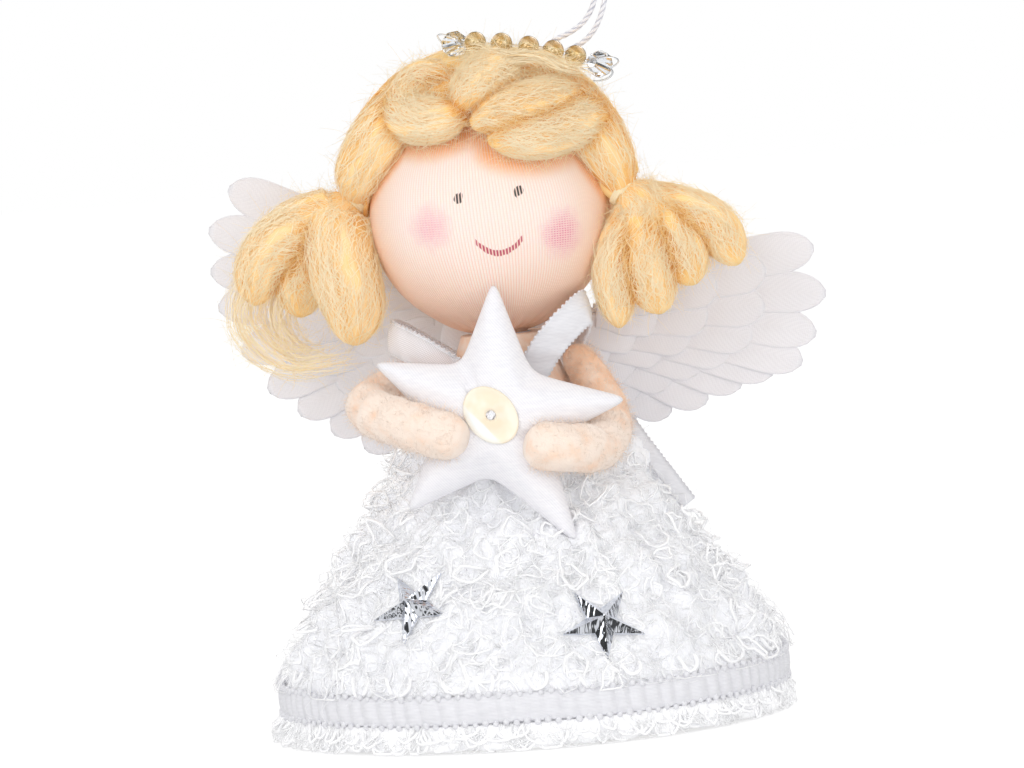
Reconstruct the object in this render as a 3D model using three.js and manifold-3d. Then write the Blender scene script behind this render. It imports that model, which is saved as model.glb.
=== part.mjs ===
// Soft hanging angel: knit head with wool pigtails, bead halo, feather wings, loop-pile skirt, satin star.
// Millimetres, +Z up, the face looks along -Y; left and right are as seen from the front.
import * as THREE from "three";
import { mergeVertices } from "three/addons/utils/BufferGeometryUtils.js";
import Module from "manifold-3d";

const wasm = await Module();
wasm.setup();

// Driving dimensions
const seatGap = 0.3; // left between pieces that rest on each other
const facetSag = 0.65; // how far the flats of a hollow dome come inside its curve
const weldDistance = 1e-4;

const baseThickness = 1.2;
const hemHalfWidth = 46;
const hemHalfDepth = 43;
const hemLift = 0.5; // lowest cloth above the floor
const ribbonFoot = 5.2; // lower edge of the hem ribbon
const ribbonWidth = 5;
const ribbonThickness = 0.9;
const ribbonPleats = 30;
const pleatDepth = 0.35;
const ruffleWaves = 16;
const ruffleDepth = 0.7;
const ruffleThickness = 1.2;
const bandMargin = 0.8; // upright cloth left above the ribbon
const waistHeight = 52;
const waistHalfWidth = 19;
const waistHalfDepth = 12.5;
const skirtWall = 1.8;

const torsoHalfWidth = 15;
const torsoHalfDepth = 10.2;
const shoulderRise = 14; // shoulders above the waist
const shoulderHalfWidth = 9.6;
const shoulderHalfDepth = 9;
const throatRise = 6; // top of the torso above the shoulders
const throatRadius = 8.5; // top rim of the torso
const throatSwell = 0.6;
const bodiceHeight = 8.8;
const bodiceWall = 1.1;

const headHalfWidth = 22.4;
const headHalfDepth = 21;
const headHalfHeight = 21.6;
const knitWall = 1.2;
const neckRadius = 4.5;
const neckDepth = 6;
const headSet = -1.3; // the head sits a little to the left of the body axis
const threadRadius = 0.5;

const hairSide = 4.8; // wool standing over the head at its sides, back and top
const hairBack = 5;
const hairTop = 7;
const hairLift = 2.6; // middle of the wool above the middle of the head
const edgeWool = 2.5; // wool over the head where it is drawn in, at its edge and at the ties
const fringeRadius = 3.7;
const stubRadius = 2.6; // wool drawn together in the tie
const stubLength = 1.6;
const tieRadius = 0.6;
const tailRootRadius = 3;

const haloRadius = 15.4;
const haloTilt = 12; // its right side lower
const haloPitch = 12; // its front higher
const haloSet = 4; // to the right of the crown
const haloSink = 1.2; // into the wool
const filamentRadius = 0.25;
const beadRadius = 2;
const crystalRadius = 2.6;
const crystalHalfLength = 2.7;

const cordRadius = 0.5;
const knotRadius = 1.6;

const wingRise = 3; // wing root above the shoulders
const wingTilt = 10; // the pair sits turned, its right side lower
const wingRootBack = 15; // middle of the wing sheet behind the body axis
const wingSweep = 6; // how far the sheet runs back on its way out
const wingSweepSpan = 30;
const wingSet = -2.2; // wing root beside the body axis
const wingReach = 58.8;
const featherHalfWidth = 3.6;
const featherHalfDepth = 0.9;
const tierStep = 0.8; // each shorter row lies this much further forward
const bridgeHalfWidth = 5.5;

const armRadius = 4.4;
const armTopRadius = 3.2; // at the shoulder
const armTaper = [0.1, 0.5]; // shares of the arm between which it grows to its full radius
const armWireRadius = 0.6;
const shoulderSet = -2; // shoulder pivot in front of the body axis
const armSpread = 10; // measure of the way points of an arm across and down

const starHalfDepth = 4.4;
const starTipHalf = 1.3; // half depth of the padding close to a tip
const tipRoundness = 0.12; // share of an edge taken by the rounding of a tip
const starReach = 24.4;
const starNotchRadius = 11.8;
const starCentreX = -1.2;
const starDrop = 7.6; // middle of the star below the shoulders
const panelWall = 0.8;
const sequinHalfLength = 5.8;
const sequinHalfWidth = 4.4;
const sequinHoleRadius = 0.9;
const sequinThickness = 0.5;
const sequinTurn = -52;

const gemRadius = 7.9;
const gemNotchRadius = 2.9;
const gemHeight = 2.8;
const gemEdge = 0.5;

const strapWidth = 6;
const strapSpread = 12; // measure of the straps' way points across
const strapThickness = 0.6;
const tailWidth = 3.2;
const tailDrop = 14; // loose end of the ribbon below the waist
const tailSet = 1; // behind the body axis
const tailStand = 2.9; // its middle beside the skirt

const strapRise = 3; // middle of a strap's foot above the bodice edge
const strapRoll = 0.4;
const tailFace = new THREE.Vector3(0.3, -1, 0.2); // the way its flat side looks

const browReach = 60; // azimuths from the middle of the face
const earReach = 86;
const browElevation = 50;
const earElevation = 6;
const napeElevation = -26;
const hairTurn = -6;
const stubRoot = 3;
const tieOut = 0.75;
const tieDrop = 0.66;
const haloBack = 1.5;
const beadAzimuths = [-37, -16, 3, 20, 37];
const crystalAzimuth = 61;
const knotAzimuth = 119;
const knotElevation = 57;
const rootPad = new THREE.Vector3(6, 1.6, 8);
const rootTop = [20, 11]; // ends of the line the feathers grow from
const rootFoot = [7, -3];
const featherBow = 1.2;
const featherRows = [
  { reach: 1, places: [0, 1, 2, 3, 4, 5, 6, 7, 8] },
  { reach: 0.7, places: [0.5, 2.2, 3.9, 5.6] },
  { reach: 0.45, places: [0.8, 3.4] },
];
const handStandOff = 0.75;
const endFlat = 0.12; // share of an arm's radius cut off its round ends
const skirtStars = {
  left_skirt_star: { x: -17.8, z: 25.2, turn: 24 },
  right_skirt_star: { x: 16.4, z: 20.4, turn: -29 },
};

// Wool locks of the fringe: azimuth, elevation and lift over the head
const fringe = [
  [[-22, 72, 3.5], [-52, 63, 2.5], [-47, 50, 0.5], [-22, 47], [-3, 53, 1]],
  [[-7, 50, 2.5], [12, 60, 4.5], [36, 66, 5]],
  [[0, 43, 1], [32, 46, 2], [76, 50, 3]],
  [[8, 36], [33, 35], [62, 38, 1.5], [84, 40, 2]],
];

// Ties of the pigtails and the locks that hang from each, as points from the root of the tail
const ties = {
  left: {
    azimuth: -86,
    elevation: 13,
    locks: [
      { radius: 6.6, way: [[0.5, -4, -9], [2, -5, -17], [1.6, -4.5, -24]] },
      { radius: 5.6, way: [[-7.5, 0, -2], [-15, 0, -8], [-17.5, 1, -15.5]] },
      { radius: 5.6, way: [[-8, 2, -11], [-9, 2, -18.5]] },
      { radius: 2.3, way: [[-16, 0, -10], [-19.5, 0, -18.5], [-12, -1.5, -26.5], [2, -3, -26]] },
    ],
  },
  right: {
    azimuth: 80,
    elevation: 8,
    locks: [
      { radius: 4.2, way: [[-5, -1.5, -10], [-5.2, -1, -22.3]] },
      { radius: 5.2, way: [[0.8, -1, -10.5], [2.6, 0, -20.3]] },
      { radius: 5.2, way: [[6, 1, -7], [9.1, 2, -15.5]] },
      { radius: 4.8, way: [[6.4, 2, -1.8], [13, 3.5, -5], [17.3, 4, -12.5]] },
    ],
  },
};

// Hanging loop from the middle of its knot: up one strand, round the top and down the other
const loopPoints = [
  [-0.9, -0.2, 1.8],
  [-0.3, -0.8, 2.9],
  [2.4, -1.2, 4],
  [4.7, -1.3, 5.3],
  [6.5, -1.3, 7.1],
  [7.9, -1.3, 9.9],
  [8.7, -1.3, 13.9],
  [9, -1.3, 18.9],
  [8.7, -1.3, 24.9],
  [8.1, -1.3, 30.9],
  [8.3, -1.3, 35.4],
  [9.7, -1.3, 38.2],
  [11.5, -1.3, 38.5],
  [13.1, -1.3, 36.1],
  [13.4, -1.3, 31.4],
  [12.5, -1.3, 24.9],
  [11.4, -1.3, 18.9],
  [10.5, -1.3, 13.9],
  [9.8, -1.3, 9.9],
  [9, -1.3, 7.3],
  [7.5, -1.2, 4.5],
  [5.5, -0.9, 2.5],
  [3.3, -0.6, 1.4],
  [1.8, -0.3, 0.8],
];

// Star tips as sewn: the angle of each point from +X and its share of the full reach
const starTips = [
  { angle: 3, share: 1 },
  { angle: 86.5, share: 1 },
  { angle: 152, share: 0.985 },
  { angle: 224, share: 0.967 },
  { angle: 300, share: 1.13 },
].map(({ angle, share }) => ({ angle, reach: share * starReach }));

// Feather tips of one wing from the wing root, out along X and up along Z, as shares of the wing's reach
const featherTips = [
  [0.947, 0.398],
  [1, 0.257],
  [0.982, 0.124],
  [0.947, 0.021],
  [0.858, -0.057],
  [0.761, -0.131],
  [0.655, -0.195],
  [0.54, -0.248],
  [0.425, -0.292],
].map((tip) => tip.map((share) => share * wingReach));
const fanDrop = { left: 6.5, right: -3.8 }; // how much lower the short feathers of each wing reach
const fanSpan = [2.5, 5]; // places in the row between which that drop comes in

// Way points of the straps: across by their spread, back by the chest, up from foot to throat
const strapWays = {
  left_strap: [
    [-0.5, -1.04, 0],
    [-1.17, -1.09, 0.72],
    [-1.71, -0.6, 1.11],
    [-1.58, 0.26, 0.94],
    [-0.83, 1, 0],
  ],
  right_strap: [
    [0.38, -1.04, 0],
    [0.79, -1.13, 0.83],
    [1.29, -0.82, 1.51],
    [1.25, -0.17, 1.28],
    [1, 0.43, 0.72],
    [0.75, 1, 0],
  ],
};

// Way points of the arms from the shoulder: across and down by the arm's spread, forward to the hand
const armWays = {
  left: [[-0.75, 0.28, -0.22], [-1.08, 0.614, -0.5], [-0.28, 0.893, -0.8], [0.71, 1, -1.1]],
  right: [[0.45, 0.2, -0.75], [0.47, 0.58, -1.4], [-0.02, 0.893, -1.4], [-0.81, 1, -1.25]],
};

// Worked out from the driving dimensions
const hemBandTop = ribbonFoot + ribbonWidth + bandMargin;
const torsoFoot = waistHeight + seatGap;
const shoulderHeight = waistHeight + shoulderRise;
const torsoTop = shoulderHeight + throatRise;
const starHeight = shoulderHeight - starDrop;
const headHalf = new THREE.Vector3(headHalfWidth, headHalfDepth, headHalfHeight);
const hairHalf = headHalf.clone().add(new THREE.Vector3(hairSide, hairBack, hairTop));
const headHeight = torsoTop + seatGap + headHalfHeight;

// Small helpers
const vec = (x, y, z) => new THREE.Vector3(x, y, z);
const { lerp, degToRad, smoothstep } = THREE.MathUtils;
const times = (count, make) => Array.from({ length: count }, (_, i) => make(i));
const turnOf = (i, count) => (2 * Math.PI * i) / count;

// Closed triangle skin with its faces turned outwards
function skin(points, faces) {
  let volume = 0;
  for (let i = 0; i < faces.length; i += 3) {
    const [a, b, c] = [points[faces[i]], points[faces[i + 1]], points[faces[i + 2]]];
    volume += a.dot(b.clone().cross(c));
  }
  const geometry = new THREE.BufferGeometry().setFromPoints(points);
  geometry.setIndex(volume < 0 ? faces.slice().reverse() : faces);
  return geometry;
}

// Skin over rows of points: the ends are closed by fans, or the last row joins the first
function loft(rows, ring = false) {
  const columns = rows[0].length;
  const points = rows.flat();
  const faces = [];
  const spans = ring ? rows.length : rows.length - 1;
  for (let i = 0; i < spans; i++) {
    const here = i * columns;
    const next = ((i + 1) % rows.length) * columns;
    for (let j = 0; j < columns; j++) {
      const k = (j + 1) % columns;
      faces.push(here + j, here + k, next + k, here + j, next + k, next + j);
    }
  }
  if (!ring) {
    const fan = (start, turned) => {
      const hub = vec(0, 0, 0);
      for (let j = 0; j < columns; j++) hub.addScaledVector(points[start + j], 1 / columns);
      const hubIndex = points.push(hub) - 1;
      for (let j = 0; j < columns; j++) {
        const k = (j + 1) % columns;
        if (turned) faces.push(start + k, start + j, hubIndex);
        else faces.push(start + j, start + k, hubIndex);
      }
    };
    fan(0, true);
    fan((rows.length - 1) * columns, false);
  }
  return skin(points, faces);
}

// Level ellipse of points
function ellipseRow(z, halfWidth, halfDepth, columns, swell = () => 0) {
  return times(columns, (j) => {
    const turn = turnOf(j, columns);
    const proud = swell(turn);
    return vec((halfWidth + proud) * Math.cos(turn), (halfDepth + proud) * Math.sin(turn), z);
  });
}

// Round tube along a curve, its radius given along the way from 0 to 1
function tube(curve, steps, sides, radiusAt) {
  const frames = curve.computeFrenetFrames(steps);
  const rows = times(steps + 1, (i) => {
    const centre = curve.getPointAt(i / steps);
    const radius = radiusAt(i / steps);
    return times(sides, (j) => {
      const turn = turnOf(j, sides);
      const out = frames.normals[i].clone().multiplyScalar(radius * Math.cos(turn));
      return out.addScaledVector(frames.binormals[i], radius * Math.sin(turn)).add(centre);
    });
  });
  return loft(rows);
}

// Flat section along a curve: at each station, half a width across the face and half a depth through it
function blade(curve, stations, faceAt, outline) {
  const rows = stations.map(({ at, halfWidth, halfDepth }) => {
    const centre = curve.getPointAt(at);
    const face = faceAt(centre);
    const across = curve.getTangentAt(at).cross(face).normalize();
    const through = across.clone().cross(curve.getTangentAt(at)).normalize();
    return outline.map(([a, b]) =>
      centre.clone().addScaledVector(across, a * halfWidth).addScaledVector(through, b * halfDepth),
    );
  });
  return loft(rows);
}
const squareOutline = [[1, 1], [-1, 1], [-1, -1], [1, -1]];
const ridgeOutline = [[1, 0], [0, 1], [-1, 0], [0, -1]];

// Ring of round section lying level about the origin
function hoop(radius, sectionRadius, columns, sides) {
  const profile = times(sides, (j) => {
    const turn = turnOf(j, sides);
    return [radius + sectionRadius * Math.cos(turn), sectionRadius * Math.sin(turn)];
  });
  return turned(profile, columns);
}

// Closed profile of radius and height turned about Z
function turned(profile, columns) {
  return loft(profile.map(([radius, z]) => ellipseRow(z, radius, radius, columns)), true);
}

// Egg about the origin
function ball(half, columns, rows) {
  return loft(times(rows - 1, (i) => {
    const rise = Math.PI * ((i + 1) / rows - 0.5);
    return ellipseRow(half.z * Math.sin(rise), half.x * Math.cos(rise), half.y * Math.cos(rise), columns);
  }));
}

// Smooth curve through chosen points
const through = (points) => new THREE.CatmullRomCurve3(points, false, "centripetal");

// Joins and cuts
function solidOf(geometry) {
  const bare = new THREE.BufferGeometry();
  bare.setAttribute("position", geometry.getAttribute("position"));
  bare.setIndex(geometry.index);
  const welded = mergeVertices(bare, weldDistance);
  const vertProperties = new Float32Array(welded.attributes.position.array);
  const triVerts = new Uint32Array(welded.index.array);
  return new wasm.Manifold(new wasm.Mesh({ numProp: 3, vertProperties, triVerts }));
}

function geometryOf(solid) {
  const bodies = solid.decompose();
  bodies.sort((a, b) => b.volume() - a.volume());
  const mesh = bodies[0].getMesh();
  const geometry = new THREE.BufferGeometry();
  geometry.setAttribute("position", new THREE.BufferAttribute(mesh.vertProperties, 3));
  geometry.setIndex(new THREE.BufferAttribute(mesh.triVerts, 1));
  return geometry;
}

const joined = (pieces) => geometryOf(pieces.map(solidOf).reduce((all, next) => all.add(next)));
const cut = (piece, tools) =>
  geometryOf(tools.map(solidOf).reduce((left, tool) => left.subtract(tool), solidOf(piece)));

// Finishes
const finishes = {
  pile: { color: 0xf7f7fa, roughness: 0.95, metalness: 0 },
  satin: { color: 0xf8f8fc, roughness: 0.4, metalness: 0 },
  lace: { color: 0xf4f0f2, roughness: 0.7, metalness: 0 },
  knit: { color: 0xfbd9c8, roughness: 0.85, metalness: 0 },
  felt: { color: 0xfbdcc4, roughness: 0.95, metalness: 0 },
  wool: { color: 0xe8c486, roughness: 0.8, metalness: 0 },
  feather: { color: 0xf2f1f2, roughness: 0.55, metalness: 0 },
  filling: { color: 0xffffff, roughness: 1, metalness: 0 },
  board: { color: 0xe9e6df, roughness: 0.9, metalness: 0 },
  cord: { color: 0xf6f6fb, roughness: 0.6, metalness: 0 },
  goldBead: { color: 0xe0b870, roughness: 0.12, metalness: 0.2 },
  crystal: { color: 0xf3f6fb, roughness: 0.05, metalness: 0 },
  filament: { color: 0xe9eef2, roughness: 0.1, metalness: 0 },
  sequin: { color: 0xf6ecc8, roughness: 0.2, metalness: 0.1 },
  mirror: { color: 0xd4d8dd, roughness: 0.06, metalness: 1 },
  wire: { color: 0x9aa0a6, roughness: 0.35, metalness: 1 },
};

const angel = new THREE.Group();

function place(group, name, geometry, finish) {
  geometry.deleteAttribute("normal");
  geometry.deleteAttribute("uv");
  const mesh = new THREE.Mesh(geometry, new THREE.MeshStandardMaterial(finishes[finish]));
  mesh.name = name;
  group.add(mesh);
  return mesh;
}

// Skirt: half width and half depth of its outside at a height
function skirtHalf(z) {
  const share = Math.max(0, (z - hemBandTop) / (waistHeight - hemBandTop));
  return [lerp(hemHalfWidth, waistHalfWidth, share), lerp(hemHalfDepth, waistHalfDepth, share)];
}

function skirtRow(z, inset, columns) {
  const [halfWidth, halfDepth] = skirtHalf(z);
  return ellipseRow(z, halfWidth - inset, halfDepth - inset, columns);
}

// Front of the skirt at a place across and up
function skirtFront(x, z) {
  const [halfWidth, halfDepth] = skirtHalf(z);
  return -halfDepth * Math.sqrt(1 - (x / halfWidth) ** 2);
}

function makeSkirt() {
  const columns = 48;
  const heights = [hemLift, hemBandTop, waistHeight];
  const outer = heights.map((z) => skirtRow(z, 0, columns));
  const inner = heights.map((z) => skirtRow(z, skirtWall, columns));
  place(angel, "skirt_cover", loft([...outer, ...inner.reverse()], true), "pile");

  const coreInset = skirtWall + seatGap;
  const [baseWidth, baseDepth] = skirtHalf(0).map((half) => half - coreInset);
  const base = [0, baseThickness].map((z) => ellipseRow(z, baseWidth, baseDepth, columns));
  place(angel, "base_disc", loft(base), "board");

  const coreFoot = baseThickness + seatGap;
  const coreHeights = [coreFoot, ...heights.slice(1)];
  const core = coreHeights.map((z) => skirtRow(z, coreInset, columns / 2));
  // a coarser ring bows inwards between its corners, so it stays inside the cloth
  place(angel, "body_filling", loft(core), "filling");
}

// Gathered ribbon round the hem band, and the looped ruffle under it
function makeHem() {
  const ribbonColumns = 2 * ribbonPleats;
  const inside = seatGap;
  const outside = seatGap + ribbonThickness;
  const pleat = (turn) => pleatDepth * Math.cos(ribbonPleats * turn);
  const ribbonRow = (z, proud, swell) =>
    ellipseRow(z, hemHalfWidth + proud, hemHalfDepth + proud, ribbonColumns, swell);
  const ribbonTop = ribbonFoot + ribbonWidth;
  const ribbon = [
    ribbonRow(ribbonFoot, inside),
    ribbonRow(ribbonFoot, outside),
    ribbonRow(lerp(ribbonFoot, ribbonTop, 0.5), outside + pleatDepth, pleat),
    ribbonRow(ribbonTop, outside),
    ribbonRow(ribbonTop, inside),
  ];
  place(angel, "hem_ribbon", loft(ribbon, true), "satin");

  const ruffleColumns = 4 * ruffleWaves;
  const wave = (turn) => ruffleDepth * (1 + Math.cos(ruffleWaves * turn));
  const ruffleRow = (z, proud, swell) =>
    ellipseRow(z, hemHalfWidth + proud, hemHalfDepth + proud, ruffleColumns, swell);
  const ruffleTop = ribbonFoot - seatGap;
  const ruffle = [
    ruffleRow(hemLift, inside),
    ruffleRow(hemLift, inside + ruffleThickness, wave),
    ruffleRow(ruffleTop, inside + ruffleThickness),
    ruffleRow(ruffleTop, inside),
  ];
  place(angel, "hem_ruffle", loft(ruffle, true), "pile");
}

// Torso: half width and half depth at a height
function torsoHalf(z) {
  const chest = Math.min(1, (z - torsoFoot) / (shoulderHeight - torsoFoot));
  const throat = Math.max(0, (z - shoulderHeight) / (torsoTop - shoulderHeight));
  const atShoulder = [
    lerp(torsoHalfWidth, shoulderHalfWidth, chest),
    lerp(torsoHalfDepth, shoulderHalfDepth, chest),
  ];
  return atShoulder.map((half) => lerp(half, throatRadius, throat));
}

function makeTorso() {
  const columns = 24;
  const row = (z, proud) => {
    const [halfWidth, halfDepth] = torsoHalf(z);
    return ellipseRow(z, halfWidth + proud, halfDepth + proud, columns);
  };
  const socketRadius = neckRadius + seatGap;
  const socketFloor = torsoTop - neckDepth - seatGap;
  const threadRoom = 2 * threadRadius + seatGap; // recess that takes the neck thread
  const socketRow = (z, radius) =>
    ellipseRow(z, radius, radius, columns).map((p) => p.add(vec(headSet, 0, 0)));
  const torso = [
    row(torsoFoot, 0),
    row(shoulderHeight, 0),
    row(lerp(shoulderHeight, torsoTop, 0.5), throatSwell),
    row(torsoTop, 0),
    socketRow(torsoTop, socketRadius + threadRoom),
    socketRow(torsoTop - threadRoom, socketRadius + threadRoom),
    socketRow(torsoTop - threadRoom, socketRadius),
    socketRow(socketFloor, socketRadius),
  ];
  place(angel, "torso", loft(torso), "felt");

  const threadHoop = hoop(socketRadius + threadRadius, threadRadius, 16, 5);
  const thread = place(angel, "neck_thread", threadHoop, "cord");
  thread.position.set(headSet, 0, torsoTop - threadRoom / 2);

  const bodiceTop = torsoFoot + bodiceHeight;
  const bodice = [
    row(torsoFoot, seatGap),
    row(torsoFoot, seatGap + bodiceWall),
    row(bodiceTop, seatGap + bodiceWall),
    row(bodiceTop, seatGap),
  ];
  place(angel, "bodice_band", loft(bodice, true), "satin");
}

// Loose ribbon straps that stand off the shoulders, and the hanging end of the ribbon at the right
function makeStraps() {
  const strapFoot = torsoFoot + bodiceHeight + strapRise;
  const outwards = (p) => vec(p.x, p.y, strapRoll * (p.z - shoulderHeight)).normalize();
  const stations = (width) =>
    times(11, (i) => ({ at: i / 10, halfWidth: width / 2, halfDepth: strapThickness / 2 }));
  const chest = torsoHalfDepth + seatGap + bodiceWall;
  for (const [name, way] of Object.entries(strapWays)) {
    const points = way.map(([across, back, rise]) =>
      vec(across * strapSpread, back * chest, lerp(strapFoot, torsoTop, rise)));
    const strap = blade(through(points), stations(strapWidth), outwards, squareOutline);
    const clear = cut(strap, [headForm(seatGap)]);
    place(angel, name, clear, name === "left_strap" ? "lace" : "satin");
  }

  const onSkirt = (z) => vec(skirtHalf(z)[0] + tailStand, tailSet, z);
  const tail = through([
    vec(torsoHalfWidth + 2 * bodiceWall, 2 * tailSet, torsoFoot + bodiceHeight - bodiceWall),
    vec(waistHalfWidth + bodiceWall, 1.5 * tailSet, waistHeight + strapRise),
    ...[0.3, 0.65, 1].map((share) => onSkirt(waistHeight - share * tailDrop)),
  ]);
  place(angel, "ribbon_tail", blade(tail, stations(tailWidth), () => tailFace, squareOutline), "satin");
}

// Solid egg of the head in place on the neck, grown by a clearance
function headForm(grow) {
  const half = headHalf.clone().addScalar(grow);
  return ball(half, 28, 14).translate(headSet, 0, headHeight);
}

// Point in a direction on an egg: azimuth 0 is the face, 90 the right ear
function onEgg(half, azimuth, elevation) {
  const [turn, rise] = [degToRad(azimuth), degToRad(elevation)];
  const level = Math.cos(rise);
  return vec(half.x * level * Math.sin(turn), -half.y * level * Math.cos(turn), half.z * Math.sin(rise));
}

const head = new THREE.Group();
head.position.set(headSet, 0, headHeight);
angel.add(head);

// Gathered knit over a stuffed ball whose neck goes down into the torso
function makeHead() {
  const columns = 24;
  const innerHalf = headHalf.clone().subScalar(knitWall);
  const coreHalf = innerHalf.clone().subScalar(seatGap);
  const eggRow = (half, elevation) => times(columns, (j) => onEgg(half, (360 * j) / columns, elevation));
  const mouth = (half) => -Math.acos((neckRadius + seatGap) / half.y) * THREE.MathUtils.RAD2DEG;
  const rise = [-52, -28, -4, 20, 44, 68];
  const outer = [mouth(headHalf), ...rise].map((e) => eggRow(headHalf, e));
  const inner = [mouth(innerHalf), ...rise].map((e) => eggRow(innerHalf, e));
  place(head, "head_cover", loft([...inner.reverse(), ...outer]), "knit");

  const neckFoot = -headHalfHeight - seatGap - neckDepth;
  const neckJoin = -coreHalf.z * Math.sqrt(1 - (neckRadius / coreHalf.y) ** 2);
  const neck = [neckFoot, neckJoin].map((z) => ellipseRow(z, neckRadius, neckRadius, columns));
  const core = rise.map((e) => eggRow(coreHalf, e));
  const startAtFront = (row) => [...row.slice((columns * 3) / 4), ...row.slice(0, (columns * 3) / 4)];
  place(head, "head_filling", loft([...neck.map(startAtFront), ...core]), "filling");
}

// Lower edge of the wool by azimuth: over the brow, down at the ears to the ties, low at the nape
function hairline(azimuth) {
  const side = Math.abs(((azimuth + hairTurn + 540) % 360) - 180);
  const toEar = Math.max(0, (side - browReach) / (earReach - browReach));
  const toNape = (side - earReach) / (180 - earReach);
  if (toNape > 0) return lerp(earElevation, napeElevation, toNape);
  return lerp(browElevation, earElevation, toEar);
}

// Fringe lock along directions on the head, at its own height over the skin
function fringeForm(directions, grow) {
  const centreHalf = headHalf.clone().addScalar(fringeRadius + seatGap);
  const path = through(directions.map(([azimuth, elevation, lift = 0]) =>
    onEgg(centreHalf.clone().addScalar(lift), azimuth, elevation)));
  return tube(path, 8, 8, (u) => fringeRadius * (0.4 + 0.6 * Math.sin(Math.PI * u) ** 0.6) + grow);
}

// Where a pigtail is tied: middle of the tie, way out, and the ball its locks hang from
function tieAt({ azimuth, elevation }) {
  const middle = onEgg(headHalf.clone().addScalar(edgeWool), azimuth, elevation);
  const turn = degToRad(azimuth);
  const out = vec(tieOut * Math.sin(turn), -tieOut * Math.cos(turn), -tieDrop).normalize();
  const root = middle.clone().addScaledVector(out, stubLength + seatGap + tailRootRadius);
  return { middle, out, root };
}

function makeHair() {
  const columns = 48;
  const row = (half, lift, share) => times(columns, (j) => {
    const azimuth = (360 * j) / columns;
    return onEgg(half, azimuth, lerp(hairline(azimuth), 84, share)).add(vec(0, 0, lift));
  });
  const shares = [0, 0.22, 0.48, 0.74, 1];
  const under = shares.map((share) => row(headHalf.clone().addScalar(seatGap + facetSag), 0, share));
  const edge = row(headHalf.clone().addScalar(edgeWool), 0, 0);
  const over = [edge, ...shares.slice(1).map((share) => row(hairHalf, hairLift, share))];
  const shell = loft([...under.reverse(), ...over]);

  const ring = new THREE.TorusGeometry(haloRadius, crystalRadius + seatGap, 8, 40);
  ring.applyMatrix4(haloFrame());
  const skull = ball(headHalf.clone().addScalar(seatGap), 28, 14);

  const stubs = Object.values(ties).map((tie) => {
    const { middle, out } = tieAt(tie);
    const path = new THREE.LineCurve3(
      middle.clone().addScaledVector(out, -stubRoot),
      middle.clone().addScaledVector(out, stubLength),
    );
    return tube(path, 1, 12, () => stubRadius);
  });
  const grownLocks = fringe.map((directions) => fringeForm(directions, seatGap));
  const grownTies = Object.values(ties).flatMap((tie) => [tieForm(tie, seatGap), tailForm(tie, seatGap)]);
  const cap = cut(joined([shell, ...stubs]), [skull, ring, ...grownLocks, ...grownTies]);
  place(head, "hair_cap", cap, "wool");

  fringe.forEach((directions, i) => {
    const earlier = grownLocks.slice(0, i);
    const lock = cut(fringeForm(directions, 0), [skull, ring, ...earlier]);
    place(head, `fringe_lock_${i + 1}`, lock, "wool");
  });

  for (const [side, tie] of Object.entries(ties)) {
    place(head, `${side}_hair_tie`, tieForm(tie, 0), "cord");
    place(head, `${side}_pigtail`, cut(tailForm(tie, 0), [skull]), "wool");
  }
}

// Thread wound round the drawn wool
function tieForm(tie, grow) {
  const { middle, out } = tieAt(tie);
  const centre = middle.addScaledVector(out, stubLength - tieRadius);
  const facing = new THREE.Quaternion().setFromUnitVectors(vec(0, 0, 1), out);
  const band = hoop(stubRadius + seatGap + tieRadius, tieRadius + grow, 12, 5);
  return band.applyQuaternion(facing).translate(...centre);
}

// Locks of one pigtail from the ball at its root
function tailForm(tie, grow) {
  const { root } = tieAt(tie);
  const locks = tie.locks.map(({ radius, way }) => {
    const path = through([vec(0, 0, 0), ...way.map((p) => vec(...p))]);
    const fullness = (u) => Math.min(1, 0.48 + 2 * u) * Math.sqrt(1.06 - u ** 4);
    return tube(path, 7, 8, (u) => radius * fullness(u) + grow);
  });
  const ballHalf = vec(1, 1, 1).multiplyScalar(tailRootRadius + grow);
  return joined([ball(ballHalf, 10, 6), ...locks]).translate(...root);
}

// Ring of the halo: seated on the crown of the hair, tipped to the right
function haloFrame() {
  const reach = hairHalf.z + beadRadius + seatGap;
  const rise = Math.sqrt(reach ** 2 - haloRadius ** 2) - haloSink;
  const turn = degToRad(haloTilt);
  const tip = new THREE.Matrix4().makeRotationY(turn);
  tip.multiply(new THREE.Matrix4().makeRotationX(-degToRad(haloPitch)));
  return tip.setPosition(rise * Math.sin(turn) + haloSet, haloBack, hairLift + rise * Math.cos(turn));
}

function makeHalo() {
  const halo = new THREE.Group();
  halo.applyMatrix4(haloFrame());
  head.add(halo);
  place(halo, "halo_filament", hoop(haloRadius, filamentRadius, 40, 5), "filament");

  const bore = filamentRadius + seatGap;
  const thread = (name, geometry, azimuth, finish) => {
    const turn = degToRad(azimuth);
    const bead = place(halo, name, geometry, finish);
    bead.position.set(haloRadius * Math.sin(turn), -haloRadius * Math.cos(turn), 0);
    bead.quaternion.setFromUnitVectors(vec(0, 0, 1), vec(Math.cos(turn), Math.sin(turn), 0));
  };
  const mouth = Math.sqrt(beadRadius ** 2 - bore ** 2);
  const round = [-0.75, -0.35, 0, 0.35, 0.75].map((share) =>
    [beadRadius * Math.sqrt(1 - share ** 2), beadRadius * share]);
  beadAzimuths.forEach((azimuth, i) => {
    const profile = [[bore, -mouth], ...round, [bore, mouth]];
    thread(`halo_bead_${i + 1}`, turned(profile, 8), azimuth, "goldBead");
  });
  const facets = [[bore, -crystalHalfLength], [crystalRadius, 0], [bore, crystalHalfLength]];
  thread("left_halo_crystal", turned(facets, 6), -crystalAzimuth, "crystal");
  thread("right_halo_crystal", turned(facets, 6), crystalAzimuth, "crystal");
}

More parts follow.
